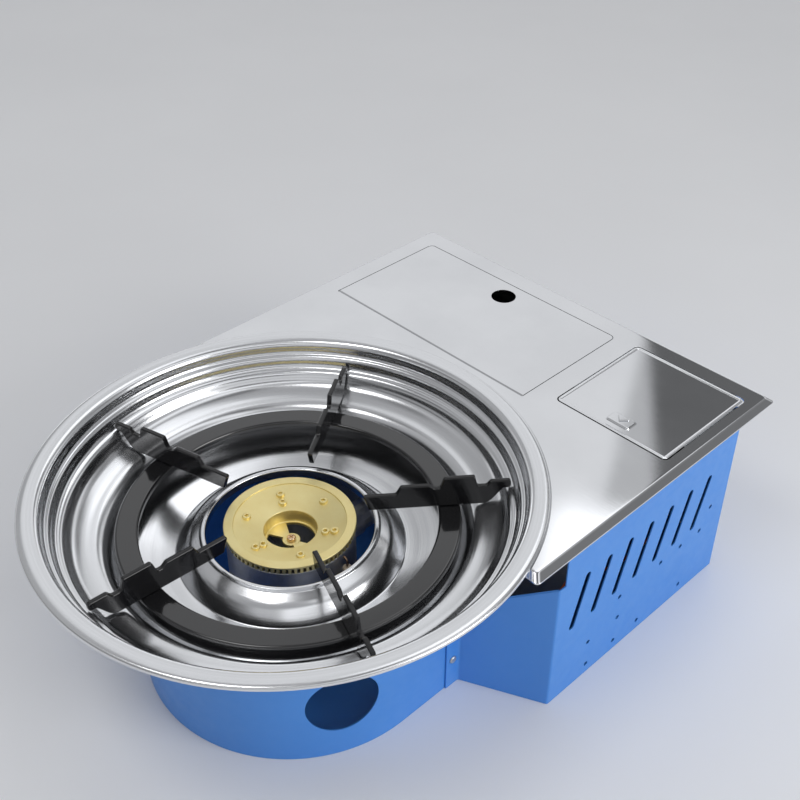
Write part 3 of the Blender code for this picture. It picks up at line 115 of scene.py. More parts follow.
CAP_GROOVE = 0.0387
DISH = 0.1048
DISH_WALL = 0.002
RECESS_RADIUS = 0.0183
RECESS_WALL = 0.0015
RECESS_FLOOR = 0.0948
FLOOR_SHEET = 0.002
BRIDGE_HUB = 0.006
BRIDGE_HALF_ANGLE = 27.0
BODY_RADIUS = 0.0445
BODY_TOP = 0.1062
BODY_LOW = 0.0612
BODY_WALL = 0.003
BODY_BORE = 0.0201
AIR_TUBE_WALL = 0.0025
AIR_TUBE_TOP = 0.1025
SPIDER_TOP = 0.0925
SPIDER_WIDTH = 0.007
SPIDER_HEIGHT = 0.008
SCREW_RADIUS = 0.0015
SCREW_HEAD_RADIUS = 0.0032
SCREW_HEAD = 0.0022
TUBE_Z = 0.0772
TUBE_RADIUS = 0.011
TUBE_WALL = 0.0015
SOCKET_END = 0.0575
ELECTRODE_PLACE = (-0.0499, 0.0624)
INSULATOR_RADIUS = 0.0033
INSULATOR_LOW = 0.0782
INSULATOR_TOP = 0.1002
INSULATOR_COLLAR = 0.0892
KNOB_PLACE = (-0.1135, -0.1876)
KNOB_LOW = 0.1147
KNOB_WAIST = 0.1217
KNOB_HIGH = 0.1357
KNOB_RADIUS = 0.019
KNOB_GRIP = 0.0106
SPINDLE_RADIUS = 0.0035
CONNECTOR_PLACE = (-0.0473, -0.1669, 0.0824)
CONNECTOR_RADIUS = 0.017
CONNECTOR_BORE = 0.0125
CONNECTOR_LENGTH = 0.004

# Finer detail that only the looks have
OVERCUT = 0.01
WELD_DISTANCE = 0.00001
FILLET_LIMIT = 0.48
EDGE = 0.0007
MOULDED_EDGE = 0.0004
FINE_EDGE = 0.0003
HAIR_EDGE = 0.0002
FOLD_START = -0.0025
FOLD_RADIUS = 0.0025
LIP_EDGE = 0.0010
WALL_FOLD = 0.0022
LID_EDGE = 0.0022
BEAD_WIDTH = 0.0028
BEAD_HEIGHT = 0.00045
BEAD_FOOT = 0.0001
MARK_HEIGHT = 0.0012
MARK_SLOPE = 0.0013
MARK_LAND = 0.0022
MARK_ROUND = 0.0008
MARK_PAD = (-0.1240, -0.1470, -0.1040, -0.1345)
MARK_CORNER = 0.0025
MARK_ARROW = ((-0.1080, -0.1437), (-0.1200, -0.1437), (-0.1140, -0.1378))
TOOTH_COUNT = 72
TOOTH_GAP = 0.0019
RIM_STEP = 0.0010
RING_INNER_FLANGE = 0.0040
RING_FOLD = 0.0022
ARM_TIP = 0.1503
ARM_TIP_LOW = 0.1313
ARM_TIP_TOP = 0.1375
ARM_NOTCH = 0.0155
ARM_HUMP = 0.0240
ARM_BLADE = 0.0185
ARM_POINT = 0.0120
INSULATOR_FLARE = 1.35
BOSS_RADIUS = 0.0029
BOSS_HEIGHT = 0.0018
BOSS_HOLE = 0.0013
BOSS_PLACES = ((-27, 0.0247), (-27, 0.0312), (33, 0.0312))
KNOB_FLUTES = 30
KNOB_FLUTE_RADIUS = 0.0011
KNOB_GROOVE = 0.0006
KNOB_SINK = 0.002
ROUND_STEPS = 160
WIRES = ("gas_pipe", "ignition_lead", "electrode_rod")

# Studio: a room that is lighter overhead, soft boxes and dark flags in its sky, two lamps and a floor.
# Boxes and flags: azimuth, elevation, half width, half height, level, and blur where it isn't the usual.
ROOM_LEVELS = (0.30, 0.42)
ROOM_RISE = (0.0, 0.9)
ROOM_CAST = (0.99, 1.0, 1.02)
SOFT_BOXES = (
    (-67, 57, 0.17, 0.26, 0.8, 0.02),
    (-41, 42, 0.26, 0.36, 0.38, 0.006),
    (-150, 62, 0.40, 0.14, 0.6),
    (160, 43, 0.45, 0.09, 0.7),
    (145, 15, 0.60, 0.12, 0.4),
    (-165, 25, 0.30, 0.30, 0.4),
    (115, 30, 0.25, 0.17, 0.2),
    (-82, 22, 0.35, 0.10, 0.5),
    (0, 14, 0.35, 0.11, 0.4),
    (-40, 13, 0.60, 0.13, 0.6),
)
FLAGS = (
    (-156, 76, 0.22, 0.12, -0.30),
    (45, 65, 0.30, 0.10, -0.27),
    (70, 30, 0.45, 0.09, -0.25),
    (162, 29, 0.35, 0.09, -0.20),
    (-129, 31, 0.20, 0.13, -0.18),
    (-102, 42, 0.17, 0.11, -0.20),
    (-67, 36, 0.13, 0.10, -0.25, 0.006),
    (-49, 55, 0.10, 0.12, -0.25),
)
LAMP_TARGET = (0, 0, 0.1)
LAMPS = (
    ("key", (0.10, 0.70, 1.75), (0.8, 0.5), 4),
    ("side", (-1.60, -0.45, 0.75), (0.9, 0.9), 11),
)
FLOOR_HALF = 4
FLOOR_LEVELS = (-0.01, -0.0002)

# Camera, fitted to the photograph
CAMERA_PLACE = (-0.4699, 0.4191, 0.6554)
CAMERA_RIGHT = (-0.6944, -0.7196, 0.0)
CAMERA_UP = (0.4348, -0.4196, 0.7969)
CAMERA_BACK = (-0.5734, 0.5534, 0.6042)
CAMERA_LENS = 52.47
CAMERA_SENSOR = 36


# Shape helpers


def filleted(corners, steps=6, closed=False):
    """Outline through (x, y, radius) corners, with each radius an arc that its sides leave room for."""
    points = []
    count = len(corners)
    for index, (x, y, radius) in enumerate(corners):
        here = Vector((x, y))
        at_end = not closed and index in (0, count - 1)
        if radius == 0 or at_end:
            points.append(here)
            continue
        before = Vector(corners[index - 1][:2]) - here
        after = Vector(corners[(index + 1) % count][:2]) - here
        half = before.angle(after) / 2
        reach = min(radius / tan(half), FILLET_LIMIT * before.length, FILLET_LIMIT * after.length)
        radius = reach * tan(half)
        before.normalize()
        after.normalize()
        centre = here + (before + after).normalized() * radius / sin(half)
        start = here + before * reach - centre
        end = here + after * reach - centre
        first = atan2(start.y, start.x)
        sweep = (atan2(end.y, end.x) - first + pi) % (2 * pi) - pi
        for step in range(steps + 1):
            angle = first + sweep * step / steps
            points.append(centre + radius * Vector((cos(angle), sin(angle))))
    return points


def blended(corners, steps=6):
    """Soft curve past (x, y) corners, from the middle of each side to the middle of the next."""
    places = [Vector(corner) for corner in corners]
    points = [places[0]]
    for before, here, after in zip(places, places[1:], places[2:]):
        start = (before + here) / 2
        end = (here + after) / 2
        for step in range(steps):
            share = step / steps
            points.append(start.lerp(here, share).lerp(here.lerp(end, share), share))
    points.append(places[-1])
    return points


def offset_path(points, distance):
    """The path moved to its left by a distance, with mitred corners."""
    moved = []
    for index, here in enumerate(points):
        sides = []
        if index > 0:
            sides.append((here - points[index - 1]).normalized())
        if index < len(points) - 1:
            sides.append((points[index + 1] - here).normalized())
        normals = [Vector((-side.y, side.x)) for side in sides]
        mean = sum(normals, Vector((0, 0))).normalized()
        moved.append(here + mean * distance / mean.dot(normals[0]))
    return moved


def sheet_outline(path, thickness):
    """Closed outline of a bent sheet: a path and its copy one thickness to the left."""
    return path + offset_path(path, thickness)[::-1]


def arc(centre, radius, first, last, steps):
    """Points on an arc, in degrees."""
    angles = [radians(first + (last - first) * step / steps) for step in range(steps + 1)]
    return [Vector((centre[0] + radius * cos(angle), centre[1] + radius * sin(angle))) for angle in angles]


def rounded_rectangle(x0, y0, x1, y1, radius, steps=8):
    """Anticlockwise rectangle with round corners."""
    corners = [(x0, y0, radius), (x1, y0, radius), (x1, y1, radius), (x0, y1, radius)]
    return filleted(corners, steps, closed=True)


def stacked(rings):
    """Closed solid: outlines with as many points each, bridged in turn and capped at both ends."""
    solid = bmesh.new()
    loops = [[solid.verts.new(point) for point in ring] for ring in rings]
    solid.faces.new(loops[0])
    solid.faces.new(loops[-1])
    for lower, upper in zip(loops, loops[1:]):
        for index in range(len(lower)):
            solid.faces.new((lower[index - 1], lower[index], upper[index], upper[index - 1]))
    bmesh.ops.recalc_face_normals(solid, faces=solid.faces[:])
    return solid


def prism(outline, low, high, plane="XY"):
    """Closed solid: a flat outline swept between two levels, square to the plane it is drawn in."""
    places = {
        "XY": lambda p, level: (p[0], p[1], level),
        "YZ": lambda p, level: (level, p[0], p[1]),
        "XZ": lambda p, level: (p[0], level, p[1]),
    }
    place = places[plane]
    return stacked([[place(p, level) for p in outline] for level in (low, high)])


def turned(profile, steps, centre=(0, 0, 0), axis="Z"):
    """Closed solid: a closed outline of (radius, height) points turned about an axis through centre."""
    solid = bmesh.new()
    rings = []
    for radius, height in profile:
        around = steps if radius > 0 else 1
        angles = [2 * pi * step / steps for step in range(around)]
        rings.append([solid.verts.new((radius * cos(a), radius * sin(a), height)) for a in angles])
    for ring, other in zip(rings, rings[1:] + rings[:1]):
        for step in range(steps):
            after = (step + 1) % steps
            corners = [ring[step % len(ring)], ring[after % len(ring)]]
            corners += [other[after % len(other)], other[step % len(other)]]
            corners = list(dict.fromkeys(corners))
            if len(corners) > 2:
                solid.faces.new(corners)
    bmesh.ops.recalc_face_normals(solid, faces=solid.faces[:])
    turns = {"Z": Matrix(), "X": Matrix.Rotation(pi / 2, 4, "Y"), "Y": Matrix.Rotation(-pi / 2, 4, "X")}
    solid.transform(Matrix.Translation(centre) @ turns[axis])
    return solid


def cylinder(radius, low, high, steps, centre=(0, 0, 0), axis="Z"):
    """Plain round solid from low to high along its axis."""
    return turned([(0, low), (radius, low), (radius, high), (0, high)], steps, centre, axis)


def box(low, high):
    """Square-edged solid between two corners."""
    outline = [(low[0], low[1]), (high[0], low[1]), (high[0], high[1]), (low[0], high[1])]
    return prism(outline, low[2], high[2])


def combined(solids):
    """Several solids in one mesh."""
    whole = bmesh.new()
    for solid in solids:
        mesh = bpy.data.meshes.new("scratch")
        solid.to_mesh(mesh)
        whole.from_mesh(mesh)
        bpy.data.meshes.remove(mesh)
    return whole


# Object helpers


def make_object(name, solid):
    """Object in the scene from a solid, which is used up."""
    mesh = bpy.data.meshes.new(name)
    solid.to_mesh(mesh)
    solid.free()
    made = bpy.data.objects.new(name, mesh)
    bpy.context.scene.collection.objects.link(made)
    return made


def boolean(made, operation, solid):
    """Applies a Boolean with a solid that is then removed."""
    other = make_object(f"{made.name}_tool", solid)
    modifier = made.modifiers.new("shape", "BOOLEAN")
    modifier.operation = operation
    modifier.solver = "EXACT"
    modifier.object = other
    graph = bpy.context.evaluated_depsgraph_get()
    mesh = bpy.data.meshes.new_from_object(made.evaluated_get(graph))
    made.modifiers.clear()
    old = made.data
    made.data = mesh
    bpy.data.meshes.remove(old)
    bpy.data.objects.remove(other)


def cut(made, *solids):
    """Takes solids away from an object."""
    boolean(made, "DIFFERENCE", combined(solids))


def join(made, *solids):
    """Adds solids to an object."""
    boolean(made, "UNION", combined(solids))


def keep_flat(made):
    """Shading that follows the large faces."""
    weighted = made.modifiers.new("shading", "WEIGHTED_NORMAL")
    weighted.keep_sharp = True


def soften(made, width, segments=2, angle=40):
    """Rounds the sharp edges and keeps the flat faces flat."""
    bevel = made.modifiers.new("edges", "BEVEL")
    bevel.width = width
    bevel.segments = segments
    bevel.limit_method = "ANGLE"
    bevel.angle_limit = radians(angle)
    bevel.miter_outer = "MITER_ARC"
    keep_flat(made)


def piece(name, solid, material, body, replaced=(), smooth=35, edge=0.0):
    """A visual piece that rides on a body, in place of the nodes it refines."""
    made = solid if isinstance(solid, bpy.types.Object) else make_object(name, solid)
    made.data.materials.clear()
    made.data.materials.append(material)
    made.data.shade_smooth()
    made.data.set_sharp_from_angle(angle=radians(smooth))
    if edge:
        soften(made, edge)
    else:
        keep_flat(made)
    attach(made, body)
    if replaced:
        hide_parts(*replaced)


def dress(node, material, edge):
    """Gives a node of the part a finer material, and round edges where there is room."""
    made = frame["nodes"][node]
    made.data.materials.clear()
    made.data.materials.append(material)
    weld = made.modifiers.new("weld", "WELD")
    weld.merge_threshold = WELD_DISTANCE
    if node in WIRES:
        rounder = made.modifiers.new("rounder", "SUBSURF")
        rounder.levels = 2
        rounder.render_levels = 2
    elif edge:
        soften(made, edge)


# Materials


class Graph:
    """A node tree, with short ways to add to it."""

    def __init__(self, tree):
        self.tree = tree

    def add(self, kind, **settings):
        node = self.tree.nodes.new(kind)
        for key, value in settings.items():
            setattr(node, key, value)
        return node

    def link(self, output, target):
        self.tree.links.new(output, target)

    def feed(self, value, socket):
        """Sets a socket to a number or a vector, or links an output to it."""
        if isinstance(value, bpy.types.NodeSocket):
            self.link(value, socket)
        else:
            socket.default_value = value

    def maths(self, operation, first, second=0.0):
        node = self.add("ShaderNodeMath", operation=operation)
        self.feed(first, node.inputs[0])
        self.feed(second, node.inputs[1])
        return node.outputs[0]

    def spread(self, value, low, high, start=0.3, end=0.7, kind="LINEAR"):
        """A value spread between two numbers."""
        node = self.add("ShaderNodeMapRange", interpolation_type=kind)
        self.feed(value, node.inputs["Value"])
        for socket, number in (("From Min", start), ("From Max", end), ("To Min", low), ("To Max", high)):
            node.inputs[socket].default_value = number
        return node.outputs["Result"]


class Finish(Graph):
    """A node material on a Principled shader, with short ways to add detail."""

    def __init__(self, name, colour, roughness, metallic=0.0):
        self.material = bpy.data.materials.new(name)
        self.material.use_nodes = True
        super().__init__(self.material.node_tree)
        self.shader = self.tree.nodes["Principled BSDF"]
        self.set("Base Color", (*colour, 1))
        self.set("Roughness", roughness)
        self.set("Metallic", metallic)
        self.place = self.add("ShaderNodeTexCoord").outputs["Object"]
        self.height = None

    def set(self, socket, value):
        self.shader.inputs[socket].default_value = value

    def stretched(self, scale, shift=(0, 0, 0)):
        """Object coordinates, moved and scaled on each axis."""
        node = self.add("ShaderNodeMapping")
        node.inputs["Location"].default_value = shift
        node.inputs["Scale"].default_value = scale
        self.link(self.place, node.inputs["Vector"])
        return node.outputs[0]

    def noise(self, scale, detail=4.0, roughness=0.55, vector=None):
        node = self.add("ShaderNodeTexNoise")
        node.inputs["Scale"].default_value = scale
        node.inputs["Detail"].default_value = detail
        node.inputs["Roughness"].default_value = roughness
        self.link(vector or self.place, node.inputs["Vector"])
        return node.outputs["Fac"]

    def rings(self, centre, scale, detail=3.0):
        """Noise that depends only on the distance from an upright axis, as a lathe leaves it."""
        apart = self.add("ShaderNodeSeparateXYZ")
        self.link(self.stretched((1, 1, 1), (-centre[0], -centre[1], 0)), apart.inputs[0])
        squares = [self.maths("POWER", apart.outputs[axis], 2.0) for axis in (0, 1)]
        radius = self.maths("SQRT", self.maths("ADD", *squares))
        node = self.add("ShaderNodeTexNoise", noise_dimensions="1D")
        node.inputs["Scale"].default_value = scale
        node.inputs["Detail"].default_value = detail
        self.link(radius, node.inputs["W"])
        return node.outputs["Fac"]

    def cells(self, scale):
        node = self.add("ShaderNodeTexVoronoi")
        node.inputs["Scale"].default_value = scale
        self.link(self.place, node.inputs["Vector"])
        return node.outputs["Distance"]

    def roughen(self, value, low, high):
        self.link(self.spread(value, low, high), self.shader.inputs["Roughness"])

    def tint(self, value, first, second, start=0.35, end=0.65):
        """Colour between two, by a texture value."""
        node = self.add("ShaderNodeMix", data_type="RGBA")
        self.link(self.spread(value, 0, 1, start, end), node.inputs[0])
        node.inputs[6].default_value = (*first, 1)
        node.inputs[7].default_value = (*second, 1)
        self.link(node.outputs[2], self.shader.inputs["Base Color"])

    def bump(self, value, depth, strength=1.0):
        """Adds relief of a real depth in metres."""
        node = self.add("ShaderNodeBump")
        node.inputs["Strength"].default_value = strength
        node.inputs["Distance"].default_value = depth
        self.link(value, node.inputs["Height"])
        if self.height:
            self.link(self.height, node.inputs["Normal"])
        self.height = node.outputs["Normal"]
        self.link(self.height, self.shader.inputs["Normal"])

    def coat(self, weight, roughness):
        self.set("Coat Weight", weight)
        self.set("Coat Roughness", roughness)


def bright_panel_finish():
    """Bright stainless sheet: almost a mirror, with faint rolling lines and soft smudges."""
    finish = Finish("bright_stainless", (0.80, 0.81, 0.83), 0.08, 1.0)
    lines = finish.noise(60, 3, 0.6, finish.stretched((1, 30, 30)))
    smudge = finish.noise(14, 4)
    finish.roughen(smudge, 0.03, 0.06)
    finish.tint(smudge, (0.78, 0.79, 0.81), (0.83, 0.84, 0.86))
    finish.bump(lines, 0.00002, 0.2)
    finish.bump(finish.noise(9, 2), 0.0004, 0.10)
    return finish.material


def spun_finish():
    """Spun stainless: rings from the lathe, and highlights drawn out across them."""
    finish = Finish("spun_steel", (0.80, 0.81, 0.83), 0.18, 1.0)
    rings = finish.rings((0, BOWL_Y), 900)
    wide = finish.rings((0, BOWL_Y), 120)
    smudge = finish.noise(18, 4)
    finish.roughen(smudge, 0.14, 0.23)
    finish.tint(wide, (0.76, 0.77, 0.79), (0.84, 0.85, 0.87))
    finish.bump(rings, 0.00003, 0.35)
    finish.bump(wide, 0.0001, 0.15)
    finish.set("Anisotropic", 0.5)
    tangent = finish.add("ShaderNodeTangent", direction_type="RADIAL", axis="Z")
    finish.link(tangent.outputs[0], finish.shader.inputs["Tangent"])
    return finish.material


def enamel_finish(name, gloss, coat):
    """Thick black enamel with a slight orange peel and a few dull specks."""
    finish = Finish(name, (0.010, 0.010, 0.011), 0.2)
    specks = finish.noise(900, 2, 0.5)
    patches = finish.noise(45, 4)
    finish.roughen(patches, 0.10, 0.18)
    finish.tint(specks, (0.008, 0.008, 0.009), (0.016, 0.016, 0.017), 0.6, 0.75)
    finish.bump(finish.noise(350, 2), 0.00010, 0.25)
    finish.bump(finish.noise(90, 2), 0.0003, 0.2)
    finish.set("Specular IOR Level", gloss)
    finish.coat(coat, 0.03)
    return finish.material


def brass_finish():
    """Machined brass with a satin blast and fine turning marks."""
    finish = Finish("machined_brass", (0.93, 0.80, 0.40), 0.46, 1.0)
    grain = finish.noise(1500, 3)
    rings = finish.rings((0, BOWL_Y), 1600)
    stain = finish.noise(60, 4)
    finish.roughen(grain, 0.40, 0.54)
    finish.tint(stain, (0.91, 0.77, 0.37), (0.95, 0.83, 0.43))
    finish.bump(rings, 0.00004, 0.25)
    finish.bump(grain, 0.00005, 0.3)
    return finish.material


def paint_finish():
    """Satin blue powder coat with orange peel and slight fading."""
    finish = Finish("blue_coat", (0.061, 0.262, 0.73), 0.42)
    peel = finish.noise(420, 3)
    fade = finish.noise(10, 4)
    finish.roughen(finish.noise(120, 3), 0.36, 0.50)
    finish.tint(fade, (0.057, 0.252, 0.715), (0.065, 0.272, 0.745))
    finish.bump(peel, 0.00008, 0.25)
    finish.coat(0.15, 0.25)
    return finish.material


def zinc_finish():
    """Zinc-plated steel with a faint spangle."""
    finish = Finish("zinc_plated", (0.60, 0.62, 0.64), 0.35, 1.0)
    finish.roughen(finish.cells(160), 0.30, 0.45)
    finish.tint(finish.noise(80, 4), (0.55, 0.57, 0.59), (0.66, 0.68, 0.70))
    finish.bump(finish.noise(700, 3), 0.00004, 0.3)
    return finish.material


def warm_zinc_finish():
    """Zinc passivated yellow, as on small screws."""
    finish = Finish("warm_zinc", (0.80, 0.58, 0.36), 0.25, 1.0)
    finish.roughen(finish.noise(900, 3), 0.20, 0.32)
    finish.tint(finish.noise(400, 3), (0.76, 0.52, 0.32), (0.84, 0.64, 0.40))
    finish.bump(finish.noise(2500, 2), 0.00002, 0.3)
    return finish.material


def dark_plate_finish():
    """Dark grey coated sheet with a dry texture."""
    finish = Finish("dark_coat", (0.26, 0.262, 0.27), 0.55)
    finish.roughen(finish.noise(60, 4), 0.48, 0.66)
    finish.tint(finish.noise(25, 4), (0.25, 0.252, 0.26), (0.27, 0.272, 0.28))
    finish.bump(finish.noise(800, 3), 0.00006, 0.4)
    return finish.material


def casting_finish():
    """Dull sand-cast aluminium."""
    finish = Finish("cast_metal", (0.42, 0.43, 0.45), 0.5, 1.0)
    finish.roughen(finish.noise(300, 3), 0.42, 0.60)
    finish.tint(finish.noise(40, 4), (0.38, 0.39, 0.41), (0.47, 0.48, 0.50))
    finish.bump(finish.noise(600, 4), 0.00015, 0.4)
    return finish.material


def wire_finish():
    """Heat-tinted electrode wire."""
    finish = Finish("tinted_wire", (0.20, 0.13, 0.09), 0.38, 1.0)
    finish.roughen(finish.noise(900, 3), 0.30, 0.46)
    finish.tint(finish.noise(200, 3), (0.15, 0.10, 0.07), (0.26, 0.17, 0.11))
    finish.bump(finish.noise(2500, 2), 0.00003, 0.3)
    return finish.material


def ceramic_finish():
    """Glazed ceramic, browned by the flame, with a few grains under the glaze."""
    finish = Finish("glazed_ceramic", (0.40, 0.33, 0.26), 0.3)
    finish.roughen(finish.noise(500, 3), 0.24, 0.38)
    finish.tint(finish.noise(400, 3), (0.32, 0.26, 0.20), (0.48, 0.41, 0.33))
    finish.bump(finish.noise(900, 2), 0.00003, 0.3)
    finish.coat(0.3, 0.1)
    return finish.material


def plastic_finish():
    """Black moulded plastic with a fine spark texture."""
    finish = Finish("moulded_plastic", (0.02, 0.02, 0.022), 0.42)
    finish.roughen(finish.noise(900, 3), 0.36, 0.50)
    finish.tint(finish.noise(60, 3), (0.017, 0.017, 0.019), (0.026, 0.026, 0.028))
    finish.bump(finish.noise(2200, 2), 0.00003, 0.4)
    return finish.material


def lead_finish():
    """Orange silicone insulation."""
    finish = Finish("orange_silicone", (0.62, 0.12, 0.02), 0.45)
    finish.roughen(finish.noise(500, 3), 0.38, 0.54)
    finish.tint(finish.noise(150, 3), (0.55, 0.10, 0.016), (0.68, 0.14, 0.028))
    finish.bump(finish.noise(1500, 2), 0.00003, 0.3)
    return finish.material


# Bowl and pot support


def bowl_section():
    """Section of the bowl's upper face from the rim inwards, as (radius, height) points."""
    soft = [
        (BOWL_RADIUS, PANEL_TOP + 0.0006),
        (BOWL_RADIUS, PANEL_TOP + 0.0014),
        (0.1733, PANEL_TOP + 0.0027),
        (0.1713, PANEL_TOP + 0.0034),
        (0.1672, PANEL_TOP + 0.0033),
        (0.1592, PANEL_TOP + 0.0014),
        (0.1584, PANEL_TOP - 0.0080),
        (0.1543, PANEL_TOP - 0.0088),
        (0.1529, PANEL_TOP - 0.0170),
        (0.1473, PANEL_TOP - 0.0180),
        (0.1445, PANEL_TOP - 0.0262),
        (0.1345, PANEL_TOP - 0.0305),
        (0.1240, PANEL_TOP - 0.0325),
        (0.1160, BOWL_FLOOR + 0.0096),
        (0.1040, BOWL_FLOOR + 0.0060),
        (0.0880, BOWL_FLOOR + 0.0021),
        (0.0840, BOWL_FLOOR + 0.0011),
    ]
    raised = [
        (0.0840, BOWL_FLOOR + 0.0011, 0),
        (0.0790, BOWL_FLOOR, 0.0015),
        (0.0690, BOWL_FLOOR + 0.0105, 0.0200),
        (0.0616, COLLAR_TOP - 0.0020, 0.0020),
        (0.0603, COLLAR_TOP, 0.0010),
        (COLLAR_RADIUS, COLLAR_TOP, 0.0014),
        (COLLAR_RADIUS, COLLAR_TOP - 0.0060, 0),
    ]
    return blended(soft)[:-1] + filleted(raised, 7)


def make_bowl():
    """Spun bowl with a rolled rim, steps, a shelf, a trough and a domed collar."""
    profile = sheet_outline(bowl_section(), SHEET)
    solid = turned(profile, ROUND_STEPS, (0, BOWL_Y, 0))
    piece("bowl_skin", solid, steel_spun, "housing", ["drip_bowl"], smooth=50)


def arm_outline():
    """Side view of a support arm, as (radius, height): blade, step, notch, hump, notch, tip on the bowl."""
    base = RING_TOP + CLEAR
    corners = [
        (ARM_INNER + 0.0040, base, 0.0015),
        (0.1339, base, 0.0060),
        (0.1379, base + 0.0032, 0.0045),
        (0.1451, ARM_TIP_LOW, 0.0020),
        (ARM_TIP, ARM_TIP_LOW, 0.0020),
        (ARM_TIP, ARM_TIP_TOP, 0.0020),
        (0.1365, ARM_TIP_TOP, 0.0020),
        (0.1338, base + ARM_NOTCH, 0.0022),
        (0.1277, base + ARM_NOTCH, 0.0022),
        (0.1255, base + ARM_HUMP, 0.0012),
        (0.1049, base + ARM_HUMP, 0.0018),
        (0.1021, base + ARM_NOTCH, 0.0020),
        (0.0983, base + ARM_NOTCH, 0.0020),
        (0.0950, base + ARM_BLADE, 0.0014),
        (0.0754, base + ARM_BLADE, 0.0018),
        (0.0721, base + ARM_POINT, 0.0018),
        (ARM_INNER, base + ARM_POINT, 0.0014),
    ]
    return filleted(corners, 5, closed=True)


def make_support():
    """Ring with a short inner and a deep outer flange, and the arms on it."""
    corners = [
        (RING_INNER, RING_TOP - RING_INNER_FLANGE, 0),
        (RING_INNER, RING_TOP, RING_FOLD),
        (RING_OUTER, RING_TOP, RING_FOLD),
        (RING_OUTER, RING_TOP - RING_FLANGE, 0),
    ]
    profile = sheet_outline(filleted(corners, 6), -RING_SHEET)
    solid = turned(profile, ROUND_STEPS, (0, BOWL_Y, 0))
    piece("ring_skin", solid, enamel, "pot_support", ["support_ring"], smooth=50)
    half = ARM_THICKNESS / 2
    for count in range(ARM_COUNT):
        arm = prism(arm_outline(), -half, half, "XZ")
        turn = Matrix.Rotation(radians(ARM_ANGLE + 360 * count / ARM_COUNT), 4, "Z")
        arm.transform(Matrix.Translation((0, BOWL_Y, 0)) @ turn)
        name = f"arm_skin_{count + 1}"
        node = f"support_arm_{count + 1}"
        # Arms use the enamel copy with dimmed gloss and coat: painted shade on their reflections
        piece(name, arm, dimmed_arm_enamel, "pot_support", [node], edge=EDGE)


# Burner


def dish_height(radius):
    """Height of the cap's dished top at a radius."""
    share = (CAP_GROOVE - radius) / (CAP_GROOVE - RECESS_RADIUS)
    return CAP_TOP - RIM_STEP - share * (CAP_TOP - RIM_STEP - DISH)


def make_cap():
    """Cap with a rounded rim, a dished top with bosses, and a recess with a bridge across it."""
    centre = (0, BOWL_Y, 0)
    ceiling = CAP_LOW + PORT_HEIGHT
    skirt = CAP_RADIUS - PORT_WALL
    sleeve = RECESS_RADIUS + RECESS_WALL
    inner = RECESS_RADIUS - RECESS_WALL
    corners = [
        (skirt - RECESS_WALL, ceiling, 0),
        (CAP_RADIUS, ceiling, 0.0003),
        (CAP_RADIUS, CAP_TOP, 0.0006),
        (CAP_GROOVE, CAP_TOP, 0.0003),
        (CAP_GROOVE - 0.0002, CAP_TOP - RIM_STEP, 0.0001),
        (RECESS_RADIUS, DISH, 0.0008),
        (RECESS_RADIUS, RECESS_FLOOR, 0.0010),
        (inner, RECESS_FLOOR, 0),
    ]
    under = RECESS_FLOOR - FLOOR_SHEET
    lower = [(inner, under), (sleeve, under), (sleeve, DISH - DISH_WALL)]
    profile = filleted(corners, 4) + lower
    piece("cap_skin", turned(profile, 144, centre), brass, "housing", ["burner_cap"], smooth=40)
    teeth = []
    pitch = 360 / TOOTH_COUNT
    half = pitch / 2 - 180 / pi * TOOTH_GAP / 2 / CAP_RADIUS
    for count in range(TOOTH_COUNT):
        middle = pitch * count
        outer = arc((0, BOWL_Y), CAP_RADIUS - 0.0003, middle - half, middle + half, 4)
        inside = arc((0, BOWL_Y), skirt, middle + half, middle - half, 4)
        teeth.append(prism(outer + inside, CAP_LOW, ceiling))
    piece("port_teeth", combined(teeth), brass, "housing", edge=HAIR_EDGE)
    bridge = []
    for side in (0, 180):
        first = side - BRIDGE_HALF_ANGLE
        last = side + BRIDGE_HALF_ANGLE
        outer = arc((0, BOWL_Y), inner + 0.0002, first, last, 8)
        inside = arc((0, BOWL_Y), BRIDGE_HUB, last, first, 8)
        bridge.append(prism(outer + inside, under, RECESS_FLOOR))
    hub = arc((0, BOWL_Y), BRIDGE_HUB + 0.0001, 0, 352.5, 47)
    bridge.append(prism(hub, under, RECESS_FLOOR + 0.0001))
    piece("cap_bridge", combined(bridge), brass, "housing", edge=HAIR_EDGE)
    bosses = []
    for third in range(3):
        for angle, radius in BOSS_PLACES:
            turn = radians(angle + 120 * third)
            base = dish_height(radius)
            place = (radius * cos(turn), BOWL_Y + radius * sin(turn), base)
            outline = [
                (BOSS_HOLE, -BOSS_HEIGHT / 2, 0),
                (BOSS_RADIUS, -BOSS_HEIGHT / 2, 0),
                (BOSS_RADIUS, BOSS_HEIGHT, 0.0004),
                (BOSS_HOLE, BOSS_HEIGHT, 0.0003),
            ]
            bosses.append(turned(filleted(outline, 3, closed=True), 32, place))
    piece("cap_bosses", combined(bosses), brass, "housing", smooth=40)


def make_cap_screw():
    """Round-headed screw with a cross recess."""
    seat = RECESS_FLOOR + CLEAR
    top = seat + SCREW_HEAD
    corners = [
        (0, SPIDER_TOP - SPIDER_HEIGHT / 2, 0),
        (SCREW_RADIUS, SPIDER_TOP - SPIDER_HEIGHT / 2, 0.0003),
        (SCREW_RADIUS, seat, 0),
        (SCREW_HEAD_RADIUS, seat, 0.0002),
        (SCREW_HEAD_RADIUS, top, 0.0014),
        (0, top, 0),
    ]
    screw = make_object("screw_skin", turned(filleted(corners, 5), 40, (0, BOWL_Y, 0)))
    long, short = 0.6 * SCREW_HEAD_RADIUS, 0.14 * SCREW_HEAD_RADIUS
    for x, y in ((long, short), (short, long)):
        cut(screw, box((-x, BOWL_Y - y, top - SCREW_HEAD / 2), (x, BOWL_Y + y, top + SCREW_HEAD)))
    piece("screw_skin", screw, warm_zinc, "housing", ["cap_screw"], smooth=40)


